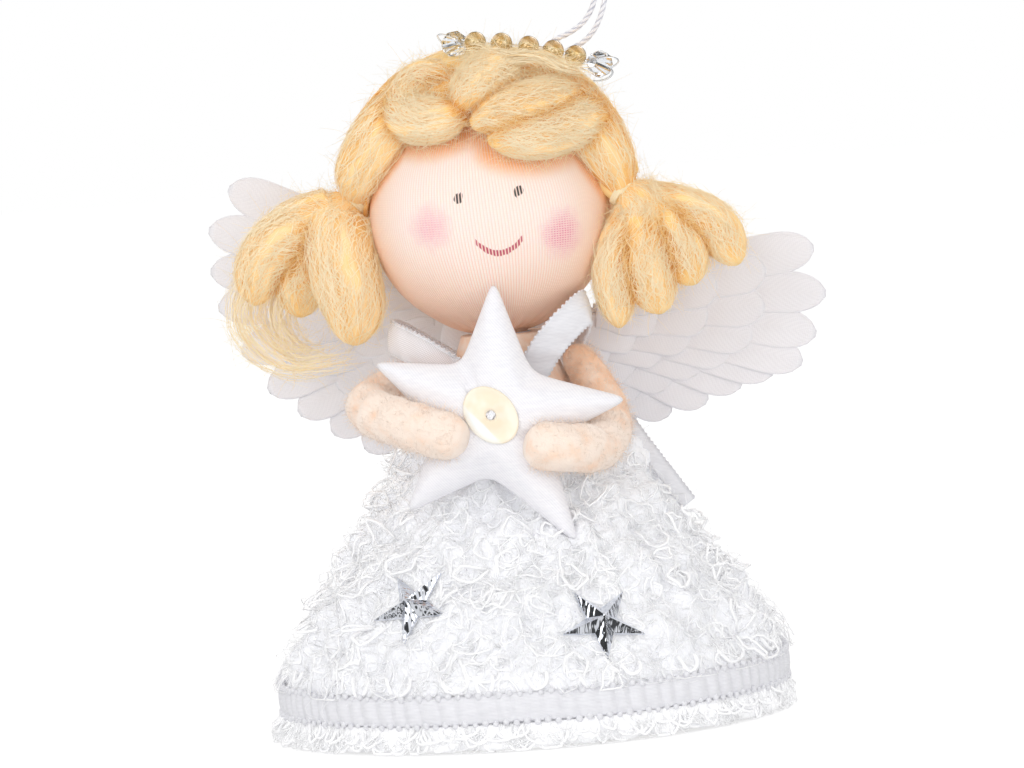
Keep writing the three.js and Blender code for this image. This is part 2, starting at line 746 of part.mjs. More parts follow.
// White cord: both ends come out of a knot on the crown, the loop stands over it
function makeLoop() {
  const knotHalf = hairHalf.clone().addScalar(knotRadius + seatGap);
  const knotCentre = onEgg(knotHalf, knotAzimuth, knotElevation).add(vec(0, 0, hairLift));
  const knot = place(head, "hang_knot", ball(vec(1, 1, 1).multiplyScalar(knotRadius), 10, 6), "cord");
  knot.position.copy(knotCentre);
  const loop = tube(through(loopPoints.map((p) => vec(...p))), 36, 8, () => cordRadius);
  const cord = place(head, "hang_loop", loop, "cord");
  cord.position.copy(knotCentre);
}

// Overlapping feathers in three rows, joined at the root
function wingForm(side, drop) {
  const sheet = (x, z, forward) => vec(side * x, wingSweep * smoothstep(x, 0, wingSweepSpan) - forward, z);
  const between = (points, s) => {
    const low = Math.min(points.length - 2, Math.floor(s));
    return points[low].map((value, axis) => lerp(value, points[low + 1][axis], s - low));
  };
  const last = featherTips.length - 1;
  const tips = featherTips.map(([x, z], i) => [x, z - drop * smoothstep(i, ...fanSpan)]);
  const roots = featherTips.map((_, i) =>
    [0, 1].map((axis) => lerp(rootTop[axis], rootFoot[axis], i / last)));
  const taper = [[0, 0.7, 1], [0.5, 1, 1], [0.88, 0.7, 0.8], [1, 0.3, 0.5]];
  const stations = taper.map(([at, wide, deep]) => ({
    at,
    halfWidth: featherHalfWidth * wide,
    halfDepth: featherHalfDepth * deep,
  }));
  const feathers = featherRows.flatMap(({ places, reach }, tier) => places.map((s) => {
    const [rootX, rootZ] = between(roots, s);
    const [tipX, tipZ] = between(tips, s);
    const forward = tier * tierStep;
    const path = through([0, 0.5, 1].map((share) => {
      const along = share * reach;
      const bow = featherBow * Math.sin(Math.PI * along);
      return sheet(lerp(rootX, tipX, along), lerp(rootZ, tipZ, along) + bow, forward);
    }));
    return blade(path, stations, () => vec(0, 1, 0), ridgeOutline);
  }));
  const pad = ball(rootPad, 12, 6).translate(side * (rootPad.x + seatGap / 2), 0, 0);
  return joined([pad, ...feathers]);
}

function makeWings() {
  const wings = new THREE.Group();
  wings.position.set(wingSet, wingRootBack, shoulderHeight + wingRise);
  wings.rotation.y = degToRad(wingTilt);
  angel.add(wings);
  place(wings, "left_wing", wingForm(-1, fanDrop.left), "feather");
  place(wings, "right_wing", wingForm(1, fanDrop.right), "feather");

  const bridgeBack = wingRootBack - rootPad.y - seatGap;
  const bridgeFoot = torsoFoot + bodiceHeight + seatGap;
  const bridgeTop = torsoTop - seatGap;
  const bridge = new THREE.BoxGeometry(2 * bridgeHalfWidth, bridgeBack, bridgeTop - bridgeFoot);
  bridge.translate(0, bridgeBack / 2, lerp(bridgeFoot, bridgeTop, 0.5));
  const back = loft([torsoFoot, shoulderHeight, torsoTop].map((z) => {
    const [halfWidth, halfDepth] = torsoHalf(Math.min(z, shoulderHeight));
    return ellipseRow(z, halfWidth + seatGap + throatSwell, halfDepth + seatGap + throatSwell, 24);
  }));
  place(angel, "wing_bridge", cut(bridge, [back, headForm(seatGap)]), "felt");
}

// Corner points of the star's outline at a share of its reach
function starOutline(share, tips, notchRadius) {
  return tips.flatMap((tip, i) => {
    const next = tips[(i + 1) % tips.length];
    const gap = (next.angle - tip.angle + 360) % 360;
    const at = (angle, reach) => {
      const turn = degToRad(angle);
      return vec(share * reach * Math.cos(turn), 0, share * reach * Math.sin(turn));
    };
    const point = at(tip.angle, tip.reach);
    const notch = at(tip.angle + gap / 2, notchRadius);
    const nextPoint = at(next.angle, next.reach);
    const ease = (from, to, s) => from.clone().lerp(to, s);
    return [
      ease(point, notch, 0.02),
      ease(point, notch, tipRoundness),
      ease(point, notch, 0.55),
      notch,
      ease(notch, nextPoint, 0.45),
      ease(notch, nextPoint, 1 - tipRoundness),
    ];
  });
}

// Half depth of the padded star at a share of its reach
const starSwell = (share) => starHalfDepth * (1 - share ** 2) ** 0.45;

function starPlace() {
  const top = starTips[1];
  const low = starTips[4];
  const topZ = starHeight + top.reach * Math.sin(degToRad(top.angle));
  const lowZ = starHeight + low.reach * Math.sin(degToRad(low.angle));
  const lowX = starCentreX + low.reach * Math.cos(degToRad(low.angle));
  const chin = -headHalfDepth * Math.sqrt(1 - ((topZ - headHeight) / headHalfHeight) ** 2);
  const topY = chin - seatGap - starTipHalf;
  const lowY = skirtFront(lowX, lowZ) - seatGap - starTipHalf;
  const lean = Math.atan2(topY - lowY, topZ - lowZ);
  const middleY = lerp(lowY, topY, (starHeight - lowZ) / (topZ - lowZ));
  return new THREE.Matrix4().makeRotationX(-lean).setPosition(starCentreX, middleY, starHeight);
}

// Whole padded star, grown by a clearance, in its own frame
function starForm(grow) {
  const tips = starTips.map(({ angle, reach }) => ({ angle, reach: reach + 2 * grow }));
  const outline = (share) => starOutline(share, tips, starNotchRadius + grow);
  const face = (sign) => starShares.map((share) =>
    outline(share).map((p) => p.setY(sign * (starSwell(share) + grow))));
  return loft([...face(1), outline(1), ...face(-1).reverse()]);
}

const starShares = [0.3, 0.66, 0.92]; // rows of the padding from the middle to the seam
const coreRimShare = 0.96; // the stuffing stops short of the seam

function makeStar() {
  const star = new THREE.Group();
  star.applyMatrix4(starPlace());
  angel.add(star);
  const outline = (share) => starOutline(share, starTips, starNotchRadius);
  const innerScale = 1 - panelWall / starNotchRadius;
  const coreScale = innerScale - seatGap / starNotchRadius;
  const seam = seatGap / 2;
  for (const [name, sign] of [["star_front_panel", -1], ["star_back_panel", 1]]) {
    const over = starShares.map((share) =>
      outline(share).map((p) => p.setY(sign * (starSwell(share) + seam))));
    const under = starShares.slice(0, -1).map((share) =>
      outline(share * innerScale).map((p) => p.setY(sign * (starSwell(share) - panelWall + seam))));
    const rims = [innerScale, 1].map((share) => outline(share).map((p) => p.setY(sign * seam)));
    place(star, name, loft([...under, ...rims, ...over.reverse()]), "satin");
  }
  const coreFace = (sign) => starShares.slice(0, -1).map((share) =>
    outline(share * coreScale).map((p) => p.setY(sign * (starSwell(share) - panelWall - seatGap))));
  const coreRim = outline(coreScale * coreRimShare);
  place(star, "star_filling", loft([...coreFace(1), coreRim, ...coreFace(-1).reverse()]), "filling");

  const sequinBack = starHalfDepth + seam + seatGap;
  const sequinRow = (halfLength, halfWidth, y) => times(24, (j) => {
    const turn = turnOf(j, 24);
    return vec(halfLength * Math.cos(turn), -y, halfWidth * Math.sin(turn));
  });
  const sequinFront = sequinBack + sequinThickness;
  const sequin = loft([
    sequinRow(sequinHoleRadius, sequinHoleRadius, sequinBack),
    sequinRow(sequinHalfLength, sequinHalfWidth, sequinBack),
    sequinRow(sequinHalfLength, sequinHalfWidth, sequinFront),
    sequinRow(sequinHoleRadius, sequinHoleRadius, sequinFront),
  ], true);
  place(star, "star_sequin", sequin, "sequin").rotation.y = -degToRad(sequinTurn);

  const stitchRadius = sequinHoleRadius - seatGap;
  const stitchEnds = [starHalfDepth + seam + seatGap / 2, sequinFront + seatGap];
  const stitch = stitchEnds.map((y) => sequinRow(stitchRadius, stitchRadius, y));
  place(star, "sequin_stitch", loft(stitch), "cord");
}

// Felt arms on wire: a ball at the shoulder, bent at the elbow, the hand on the front of the star
function makeArms() {
  const starFrame = starPlace();
  const keepOut = [starForm(seatGap), sequinForm()].map((form) => form.applyMatrix4(starFrame));
  const starY = starFrame.elements[13];
  const shoulderX = shoulderHalfWidth + seatGap + armTopRadius;
  const handY = starY - starHalfDepth - handStandOff * armRadius;
  for (const [side, way] of Object.entries(armWays)) {
    const sign = side === "left" ? -1 : 1;
    const pivot = vec(sign * shoulderX, shoulderSet, shoulderHeight);
    const wayPoints = way.map(([across, forward, rise]) =>
      vec(pivot.x + across * armSpread, lerp(shoulderSet, handY, forward), pivot.z + rise * armSpread));
    const back = pivot.clone().sub(wayPoints[0]).normalize();
    const points = [pivot.clone().addScaledVector(back, (1 - endFlat) * armTopRadius), ...wayPoints];
    const path = through(points);
    const length = path.getLength();
    const radiusAt = (u) => {
      const full = lerp(armTopRadius, armRadius, smoothstep(u, ...armTaper));
      const fromEnd = Math.min(u, 1 - u) * length + endFlat * full;
      return fromEnd < full ? Math.sqrt(full ** 2 - (full - fromEnd) ** 2) : full;
    };
    const stretch = (from, to) => through(times(11, (i) => path.getPointAt(lerp(from, to, i / 10))));
    const wireEnd = 1 - armRadius / length;
    const bore = tube(stretch(0, wireEnd), 10, 6, () => armWireRadius + 2 * seatGap);
    const mouth = tube(new THREE.LineCurve3(
      path.getPointAt(0.02),
      points[0].clone().addScaledVector(back, armRadius),
    ), 1, 6, () => armWireRadius + 2 * seatGap);
    const arm = cut(tube(path, 12, 8, radiusAt), [...keepOut, joined([bore, mouth])]);
    place(angel, `${side}_arm`, arm, "felt");
    place(angel, `${side}_arm_wire`, tube(stretch(0, wireEnd - 0.02), 10, 6, () => armWireRadius), "wire");
  }
}

// Room for the sequin and its stitch in the star's frame
function sequinForm() {
  const front = starHalfDepth + 2 * sequinThickness + 2 * seatGap;
  const half = vec(sequinHalfLength + seatGap, front, sequinHalfWidth + seatGap);
  const rows = [0, half.y].map((y) => times(20, (j) => {
    const turn = turnOf(j, 20);
    return vec(half.x * Math.cos(turn), -y, half.z * Math.sin(turn));
  }));
  return loft(rows).rotateY(-degToRad(sequinTurn));
}

// Pointed mirror stars glued to the front of the skirt
function makeSkirtStars() {
  const tips = times(5, (i) => ({ angle: 90 + 72 * i, reach: gemRadius }));
  const outline = tips.flatMap(({ angle, reach }) => [[angle, reach], [angle + 36, gemNotchRadius]]);
  const corners = (y) => outline.map(([angle, reach]) => {
    const turn = degToRad(angle);
    return vec(reach * Math.cos(turn), -y, reach * Math.sin(turn));
  });
  const apex = corners(gemHeight).map((p) => p.multiply(vec(0.02, 1, 0.02)));
  for (const [name, { x, z, turn }] of Object.entries(skirtStars)) {
    const at = vec(x, skirtFront(x, z), z);
    const across = vec(x + 0.5, skirtFront(x + 0.5, z), z).sub(at);
    const up = vec(x, skirtFront(x, z + 0.5), z + 0.5).sub(at).normalize();
    const out = across.cross(up).normalize();
    const basis = new THREE.Matrix4().makeBasis(up.clone().cross(out), out.clone().negate(), up);
    const gem = place(angel, name, loft([corners(0), corners(gemEdge), apex]), "mirror");
    gem.applyMatrix4(basis);
    gem.rotateY(-degToRad(turn));
    gem.position.copy(at).addScaledVector(out, seatGap);
  }
}

makeSkirt();
makeHem();
makeTorso();
makeStraps();
makeHead();
makeHair();
makeHalo();
makeLoop();
makeWings();
makeStar();
makeArms();
makeSkirtStars();

export default angel;
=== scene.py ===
import bpy
import numpy as np
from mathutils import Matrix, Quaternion, Vector


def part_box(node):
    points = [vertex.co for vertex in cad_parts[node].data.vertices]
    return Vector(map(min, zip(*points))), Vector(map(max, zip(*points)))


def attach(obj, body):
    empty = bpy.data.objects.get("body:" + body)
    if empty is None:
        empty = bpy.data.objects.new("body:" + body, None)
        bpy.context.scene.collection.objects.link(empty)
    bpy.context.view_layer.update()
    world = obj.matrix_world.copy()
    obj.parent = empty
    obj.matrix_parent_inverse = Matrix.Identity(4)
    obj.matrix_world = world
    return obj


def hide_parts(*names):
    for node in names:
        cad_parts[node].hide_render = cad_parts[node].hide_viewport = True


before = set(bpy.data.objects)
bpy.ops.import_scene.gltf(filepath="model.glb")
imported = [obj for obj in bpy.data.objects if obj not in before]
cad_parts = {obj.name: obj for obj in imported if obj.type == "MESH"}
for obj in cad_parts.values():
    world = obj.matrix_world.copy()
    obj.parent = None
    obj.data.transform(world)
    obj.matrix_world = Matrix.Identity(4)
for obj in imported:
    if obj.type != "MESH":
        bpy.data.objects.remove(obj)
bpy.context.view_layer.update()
mm = 0.001
fullTurn = 2 * np.pi


# Small sums on arrays of points

def unit(v):  # each vector scaled to length one
    return v / np.maximum(np.linalg.norm(v, axis=-1, keepdims=True), 1e-9)


def ease(x, low, high):  # smooth step from 0 at low to 1 at high
    t = np.clip((x - low) / (high - low), 0, 1)
    return t * t * (3 - 2 * t)


def mix(a, b, share):
    return a + (b - a) * share


def turnsOf(count):  # angles of equal steps round one full turn
    return fullTurn * np.arange(count) / count


def ovalRing(wide, deep, turn, z):  # points on level ovals about the origin
    return np.stack(np.broadcast_arrays(wide * np.cos(turn), deep * np.sin(turn), z), -1)


def smoothPath(points, count):
    # centripetal Catmull-Rom curve: each span is a cubic between two points whose end slopes come from
    # the neighbours, weighted by the square root of the spacing; then resampled to equal steps
    p = np.asarray(points, float)
    p = np.vstack([2 * p[0] - p[1], p, 2 * p[-1] - p[-2]])
    step = np.sqrt(np.linalg.norm(np.diff(p, axis=0), axis=1))[:, None]
    before, here, there, after = p[:-3], p[1:-2], p[2:-1], p[3:]
    d0, d1, d2 = step[:-2], step[1:-1], step[2:]
    out = ((here - before) / d0 - (there - before) / (d0 + d1) + (there - here) / d1) * d1
    into = ((there - here) / d1 - (after - here) / (d1 + d2) + (after - there) / d2) * d1
    t = np.linspace(0, 1, 24, endpoint=False)[None, :, None]
    t2, t3 = t * t, t * t * t
    fine = (2 * t3 - 3 * t2 + 1) * here[:, None] + (t3 - 2 * t2 + t) * out[:, None]
    fine = fine + (3 * t2 - 2 * t3) * there[:, None] + (t3 - t2) * into[:, None]
    fine = np.vstack([fine.reshape(-1, 3), there[-1]])
    run = np.concatenate([[0], np.cumsum(np.linalg.norm(np.diff(fine, axis=0), axis=1))])
    at = np.linspace(0, run[-1], count)
    return np.stack([np.interp(at, run, fine[:, k]) for k in range(3)], axis=1)


def pathLength(path):
    return float(np.linalg.norm(np.diff(path, axis=0), axis=1).sum())


def sample(values, share):  # values given at equal steps from 0 to 1, read in between
    place = np.clip(share, 0, 1) * (len(values) - 1)
    low = np.minimum(place.astype(int), len(values) - 2)
    part = place - low
    part = part[..., None] if values.ndim > 1 else part
    return mix(values[low], values[low + 1], part)


def pathFrame(path, lead):  # way on, side and up along a path, the up kept towards a leading direction
    along = unit(np.gradient(path, axis=-2))
    side = unit(np.cross(lead, along))
    return along, side, np.cross(along, side)


def tubeGrid(path, wide, deep, lead, sides):
    # an ellipse carried along a path: centre + wide cos(a) side + deep sin(a) up
    _, side, up = pathFrame(path, lead)
    a = turnsOf(sides)
    across = (wide * np.cos(a))[..., None] * side[..., None, :]
    return path[..., None, :] + across + (deep * np.sin(a))[..., None] * up[..., None, :]


def hoopTube(ring, radius, lead, sides):  # a round tube along a closed path
    return tubeGrid(np.vstack([ring[-1:], ring, ring[:1]]), radius, radius, lead, sides)[1:-1]


def knobShape(steep):  # a small ball of four rings, the outer ones at a steep latitude
    tip = np.radians([-steep, -22, 22, steep])[:, None]
    return ovalRing(np.cos(tip), np.cos(tip), turnsOf(7), np.sin(tip))


def turnAbout(points, axis, degrees):  # points turned about X or Y through the origin
    c, s = np.cos(np.radians(degrees)), np.sin(np.radians(degrees))
    j, k = {"x": (1, 2), "y": (2, 0)}[axis]
    turned = np.array(points, float)
    turned[..., j] = c * points[..., j] - s * points[..., k]
    turned[..., k] = s * points[..., j] + c * points[..., k]
    return turned


def waveSet(lengths, dice):  # a random direction and start for each wave length
    return [(unit(dice.normal(size=3)) * fullTurn / length, dice.uniform(0, fullTurn)) for length in lengths]


def ripple(points, lengths, dice):  # soft lumps: a few sine waves in random directions, about -1 to 1
    return sum(np.sin(points @ way + start) for way, start in waveSet(lengths, dice)) / len(lengths)


# Grids of points to meshes

def gridFaces(rows, columns, hoop):  # quads between rows, closed round the columns, with a map on each corner
    i, j = np.meshgrid(np.arange(rows if hoop else rows - 1), np.arange(columns), indexing="ij")
    i, j = i.ravel(), j.ravel()
    below, beside = (i + 1) % rows, (j + 1) % columns
    here, there = i * columns, below * columns
    quads = np.stack([here + j, here + beside, there + beside, there + j], 1)
    u = np.stack([i, i, i + 1, i + 1], 1) / (rows if hoop else rows - 1)
    v = np.stack([j, j + 1, j + 1, j], 1) / columns
    return quads, np.stack([u, v], 2)


def skinOver(points, tone=0.5, hoop=False):
    # closed skin over grids of points (count, rows, columns, 3): quads between rows, a flat face at each end,
    # or the last row joined to the first
    points = points.reshape((-1,) + points.shape[-3:])
    count, rows, columns = points.shape[:3]
    quads, uv = gridFaces(rows, columns, hoop)
    shift = (np.arange(count) * rows * columns)[:, None, None]
    faces = [((quads + shift).reshape(-1, 4), np.tile(uv, (count, 1, 1)))]
    if not hoop:
        ring = np.arange(columns)
        ends = np.stack([ring[::-1], (rows - 1) * columns + ring])
        flat = np.zeros((2 * count, columns, 2))
        flat[1::2, :, 0] = 1
        faces.append(((ends + shift).reshape(-1, columns), flat))
    tones = np.broadcast_to(tone, points.shape[:3]).ravel()
    return {"verts": points.reshape(-1, 3), "faces": faces, "tone": tones}


def roundTube(path, radius, lead, sides, tone):  # closed skin of round strands along open paths
    return skinOver(tubeGrid(path, radius, radius, lead, sides), tone)


def putPiece(name, parts, finish, smooth=True):  # parts merged into one mesh object, its place in the mesh
    shifts = np.cumsum([0] + [len(part["verts"]) for part in parts])
    faces = [(f + shift, uv) for part, shift in zip(parts, shifts) for f, uv in part["faces"]]
    corners = np.concatenate([f.ravel() for f, _ in faces])
    sizes = np.concatenate([np.full(len(f), f.shape[1]) for f, _ in faces])
    verts = np.concatenate([part["verts"] for part in parts]) * mm
    mesh = bpy.data.meshes.new(name)
    mesh.vertices.add(len(verts))
    mesh.vertices.foreach_set("co", verts.ravel())
    mesh.loops.add(len(corners))
    mesh.loops.foreach_set("vertex_index", corners.astype(np.int32))
    mesh.polygons.add(len(sizes))
    mesh.polygons.foreach_set("loop_start", (np.cumsum(sizes) - sizes).astype(np.int32))
    rounded = [np.full(len(f), part.get("smooth", smooth)) for part in parts for f, _ in part["faces"]]
    mesh.polygons.foreach_set("use_smooth", np.concatenate(rounded))
    mesh.update(calc_edges=True)
    uvMap = mesh.uv_layers.new(name="map")
    uvMap.data.foreach_set("uv", np.concatenate([uv.reshape(-1) for _, uv in faces]).astype(np.float32))
    toneMap = mesh.attributes.new("tone", "FLOAT", "POINT")
    toneMap.data.foreach_set("value", np.concatenate([part["tone"] for part in parts]).astype(np.float32))
    mesh.materials.append(finish)
    piece = bpy.data.objects.new(name, mesh)
    bpy.context.scene.collection.objects.link(piece)
    return piece


def addPiece(name, parts, finish, slot, *nodes, body="body", smooth=True):
    # a piece tied to its body and the nodes it stands for; its finish slot is not used
    piece = putPiece(name, parts, finish, smooth)
    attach(piece, body)
    if nodes:
        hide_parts(*nodes)
    return piece


def refinish(node, finish):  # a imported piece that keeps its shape
    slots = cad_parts[node].data.materials
    slots.clear()
    slots.append(finish)


# Finishes

class Wire:  # a shader socket that arithmetic can be written on: each sign adds its Math node
    def __init__(self, socket):
        self.socket = socket

    def node(self, kind, settings=None, inputs=None, out=0):  # any node: type, settings, then sockets
        tree = self.socket.id_data
        made = tree.nodes.new("ShaderNode" + kind)
        for name, value in (settings or {}).items():
            if name == "stops":
                for place, _ in value[2:]:
                    made.color_ramp.elements.new(place)
                for element, (place, colour) in zip(made.color_ramp.elements, value):
                    element.position, element.color = place, colour
            else:
                setattr(made, name, value)
        for name, value in (inputs or {}).items():
            if isinstance(value, Wire):
                tree.links.new(value.socket, made.inputs[name])
            else:
                made.inputs[name].default_value = value
        return Wire(made.outputs[out])

    def math(self, operation, *values):
        return self.node("Math", {"operation": operation}, dict(enumerate(values)))

    def __add__(self, other):
        return self.math("ADD", self, other)

    def __sub__(self, other):
        return self.math("SUBTRACT", self, other)

    def __rsub__(self, other):
        return self.math("SUBTRACT", other, self)

    def __mul__(self, other):
        return self.math("MULTIPLY", self, other)

    def __truediv__(self, other):
        return self.math("DIVIDE", self, other)

    __radd__ = __add__
    __rmul__ = __mul__


def tint(red, green, blue):  # a colour as it is seen, 0 to 255, to the shader's own scale
    seen = np.array([red, green, blue]) / 255
    light = np.where(seen <= 0.04045, seen / 12.92, ((seen + 0.055) / 1.055) ** 2.4)
    return tuple(float(c) for c in light) + (1.0,)


def newFinish(name):  # the place socket of an empty material, in millimetres, which carries the material
    finish = bpy.data.materials.new(name)
    finish.use_nodes = True
    finish.node_tree.nodes.clear()
    coords = Wire(finish.node_tree.nodes.new("ShaderNodeTexCoord").outputs["Object"])
    place = coords.node("VectorMath", {"operation": "SCALE"}, {0: coords, "Scale": 1 / mm})
    place.finish = finish
    return place


def sine(wire):
    return wire.math("SINE", wire)


def size(wire):
    return wire.math("ABSOLUTE", wire)


def rise(wire, low, high):  # smooth step of a value
    settings = {"interpolation_type": "SMOOTHSTEP"}
    return wire.node("MapRange", settings, {"Value": wire, "From Min": low, "From Max": high})


def noise(place, scale, detail=2.0):
    return place.node("TexNoise", {}, {"Vector": place, "Scale": scale, "Detail": detail})


def stretch(place, x, y, z):
    return place.node("VectorMath", {"operation": "MULTIPLY"}, {0: place, 1: (x, y, z)})


def axes(place):  # a vector's three values
    split = place.node("SeparateXYZ", {}, {0: place}).socket.node
    return [Wire(socket) for socket in split.outputs]


def shade(share, low, high):  # colour between two
    return share.node("Mix", {"data_type": "RGBA"}, {0: share, 6: low, 7: high}, out=2)


def ramp(share, *stops):
    return share.node("ValToRGB", {"stops": stops}, {0: share})


def toneOf(place):
    return place.node("Attribute", {"attribute_name": "tone"}, out=2)


def mapOf(place):  # along and round, from the piece's own map
    return axes(place.node("UVMap", {"uv_map": "map"}))[:2]


def coat(place, colour, sockets, bump=None, depth=0.1):  # the finished material; depth of the relief in mm
    inputs = {"Base Color": colour, **sockets}
    if bump is not None:
        inputs["Normal"] = place.node("Bump", {}, {"Height": bump, "Distance": depth * mm, "Strength": 1.0})
    surface = place.node("BsdfPrincipled", {}, inputs)
    output = place.socket.id_data.nodes.new("ShaderNodeOutputMaterial")
    place.socket.id_data.links.new(surface.socket, output.inputs["Surface"])
    return place.finish


def paintedGlow(colour, level):  # painted glow: the colour is emitted at a low level, standing in for light that scatters inside thin pale fibres and lifting their shade
    return {"Emission Color": colour, "Emission Strength": level}


def woolFinish(name, dark, middle, pale):
    # combed wool: streaks that run along each lock on its own map, closed round it, with broad soft patches
    place = newFinish(name)
    along, around = mapOf(place)
    turn = around * fullTurn
    comb = place.node("CombineXYZ", {}, {0: sine(turn) * 26, 1: sine(turn + 0.5 * np.pi) * 26, 2: along * 5})
    streak = noise(comb, 1.0, 4.0) - 0.5
    broad = noise(place, 0.3, 3.0) - 0.5
    # the tone brings painted shade: dark in the creases where locks press and in the grooves, pale on open
    # ridges; streaks and patches vary at random
    share = toneOf(place) + streak * 0.4 + broad * 0.2
    colour = ramp(share, (0.0, dark), (0.36, middle), (0.82, pale))
    # painted glow lifts the shade between the fibres
    sockets = {"Roughness": 0.9, "Specular IOR Level": 0.1, **paintedGlow(colour, 0.08)}
    return coat(place, colour, sockets, streak, 0.06)


def yarnFinish(name, shadow, light, soft=0.0):
    place = newFinish(name)
    patch = noise(place, 0.35, 3.0)
    fine = noise(place, 9.0, 2.0)
    colour = shade(rise(toneOf(place) * 0.8 + patch * 0.4, 0.2, 0.75), shadow, light)
    # painted glow, at the level soft, lifts the shade of the yarn
    sockets = {"Roughness": 0.9, "Sheen Weight": 0.1, **paintedGlow(colour, soft)}
    return coat(place, colour, sockets, fine, 0.04)


def groundFinish():
    # brushed white ground: tangled fibre lines in the relief, and painted shade in a few small openings of
    # the knit, in patches
    place = newFinish("white pile ground")
    along, around = mapOf(place)
    patch = noise(place, 0.5, 3.0)
    tangle = size(noise(place, 1.1, 4.0) - 0.5) * 6
    row = size(sine(along * 210)) * size(sine(around * 760))
    # painted shade: grey where small openings of the knit look into the dark
    openingShade = rise(row, 0.84, 0.95) * rise(noise(place, 0.22, 2.0), 0.56, 0.64)
    colour = shade(patch, tint(244, 245, 250), tint(253, 253, 255))
    colour = shade(openingShade * 0.6, colour, tint(190, 184, 186))
    # painted glow lifts the shade of the ground
    sockets = {"Roughness": 0.95, "Sheen Weight": 0.1, **paintedGlow(colour, 0.08)}
    return coat(place, colour, sockets, tangle, 0.1)


def satinFinish(name, shadow, light, pitch, slant, gloss):
    # twill: fine slanting ridges across the face, with faint slubs
    place = newFinish(name)
    x, y, z = axes(place)
    line = sine((x * slant[0] + y * slant[1] + z * slant[2]) * (fullTurn / pitch)) * 0.5 + 0.5
    slub = noise(stretch(place, 0.5, 1.0, 3.0), 0.8, 3.0)
    colour = shade(rise(line * 0.3 + slub * 0.7, 0.1, 0.8), shadow, light)
    sockets = {"Roughness": gloss + (1 - line) * 0.1, "Sheen Weight": 0.1, "Specular IOR Level": 0.4}
    return coat(place, colour, sockets, line, 0.02)


def feltFinish(name, deep, light):
    place = newFinish(name)
    clump = noise(place, 0.28, 3.0)
    fine = noise(place, 4.5, 3.0)
    share = toneOf(place) * 0.68 + (clump - 0.5) * 0.9 + (fine - 0.5) * 0.12
    colour = shade(rise(share, 0.1, 0.65), deep, light)
    return coat(place, colour, {"Roughness": 0.95, "Sheen Weight": 0.35, "Sheen Roughness": 0.5}, fine, 0.12)


def grainFinish(name, low, high, scale, rough, depth):  # plain stuff: one grain in its colour and its relief
    place = newFinish(name)
    grain = noise(place, scale, 4.0)
    return coat(place, shade(grain, low, high), {"Roughness": rough}, grain, depth)


print("finishes: makers ready")


# Camera and studio

view = {"azimuth": 6.0, "elevation": 4.0, "roll": 4.5, "lens": 200.0, "aim": (0.2, 0.0, 62.4), "width": 189.6}


def makeCamera():
    data = bpy.data.cameras.new("camera")
    data.sensor_fit = "HORIZONTAL"
    data.sensor_width = 36.0
    data.lens = view["lens"]
    data.clip_start = 0.05
    data.clip_end = 20.0
    camera = bpy.data.objects.new("camera", data)
    a, e = np.radians(view["azimuth"]), np.radians(view["elevation"])
    towards = Vector((np.sin(a) * np.cos(e), -np.cos(a) * np.cos(e), np.sin(e)))
    far = view["lens"] / data.sensor_width * view["width"] * mm
    camera.location = Vector(view["aim"]) * mm + towards * far
    roll = Quaternion((0, 0, 1), -np.radians(view["roll"]))
    camera.rotation_mode = "QUATERNION"
    camera.rotation_quaternion = towards.to_track_quat("Z", "Y") @ roll
    bpy.context.scene.collection.objects.link(camera)
    bpy.context.scene.camera = camera


studio = {
    "fill": 0.8,  # light of the room from all sides
    "lamps": {  # place in metres, side of the lamp, power
        "key lamp": ((-0.6, -1.05, 0.6), 0.7, 3.2),
        "side lamp": ((0.85, -0.9, 0.3), 0.6, 2.0),
        "front lamp": ((0.0, -1.3, 0.07), 0.5, 2.0),
        "back lamp": ((0.35, 0.9, 0.75), 0.5, 1.4),
    },
    "floor": 0.5,  # shade of its paint
    "glow": 0.62,  # light of the floor as the camera sees it
    "bounce": 0.34,  # light that the floor gives back to the object
    "windows": (4.4, 2.4, 4.0, 0.9),  # bright windows in mirrors: waves along X, Y and Z, and their start
    "bands": (150.0, 130.0, 1.2),  # light and shade that mirrors see on the floor, in the same way
    "dark": (0.06, 0.08),  # what mirrors see between them, in the room and on the floor
    "floorHalf": 3000.0, "floorTop": -0.15,
}


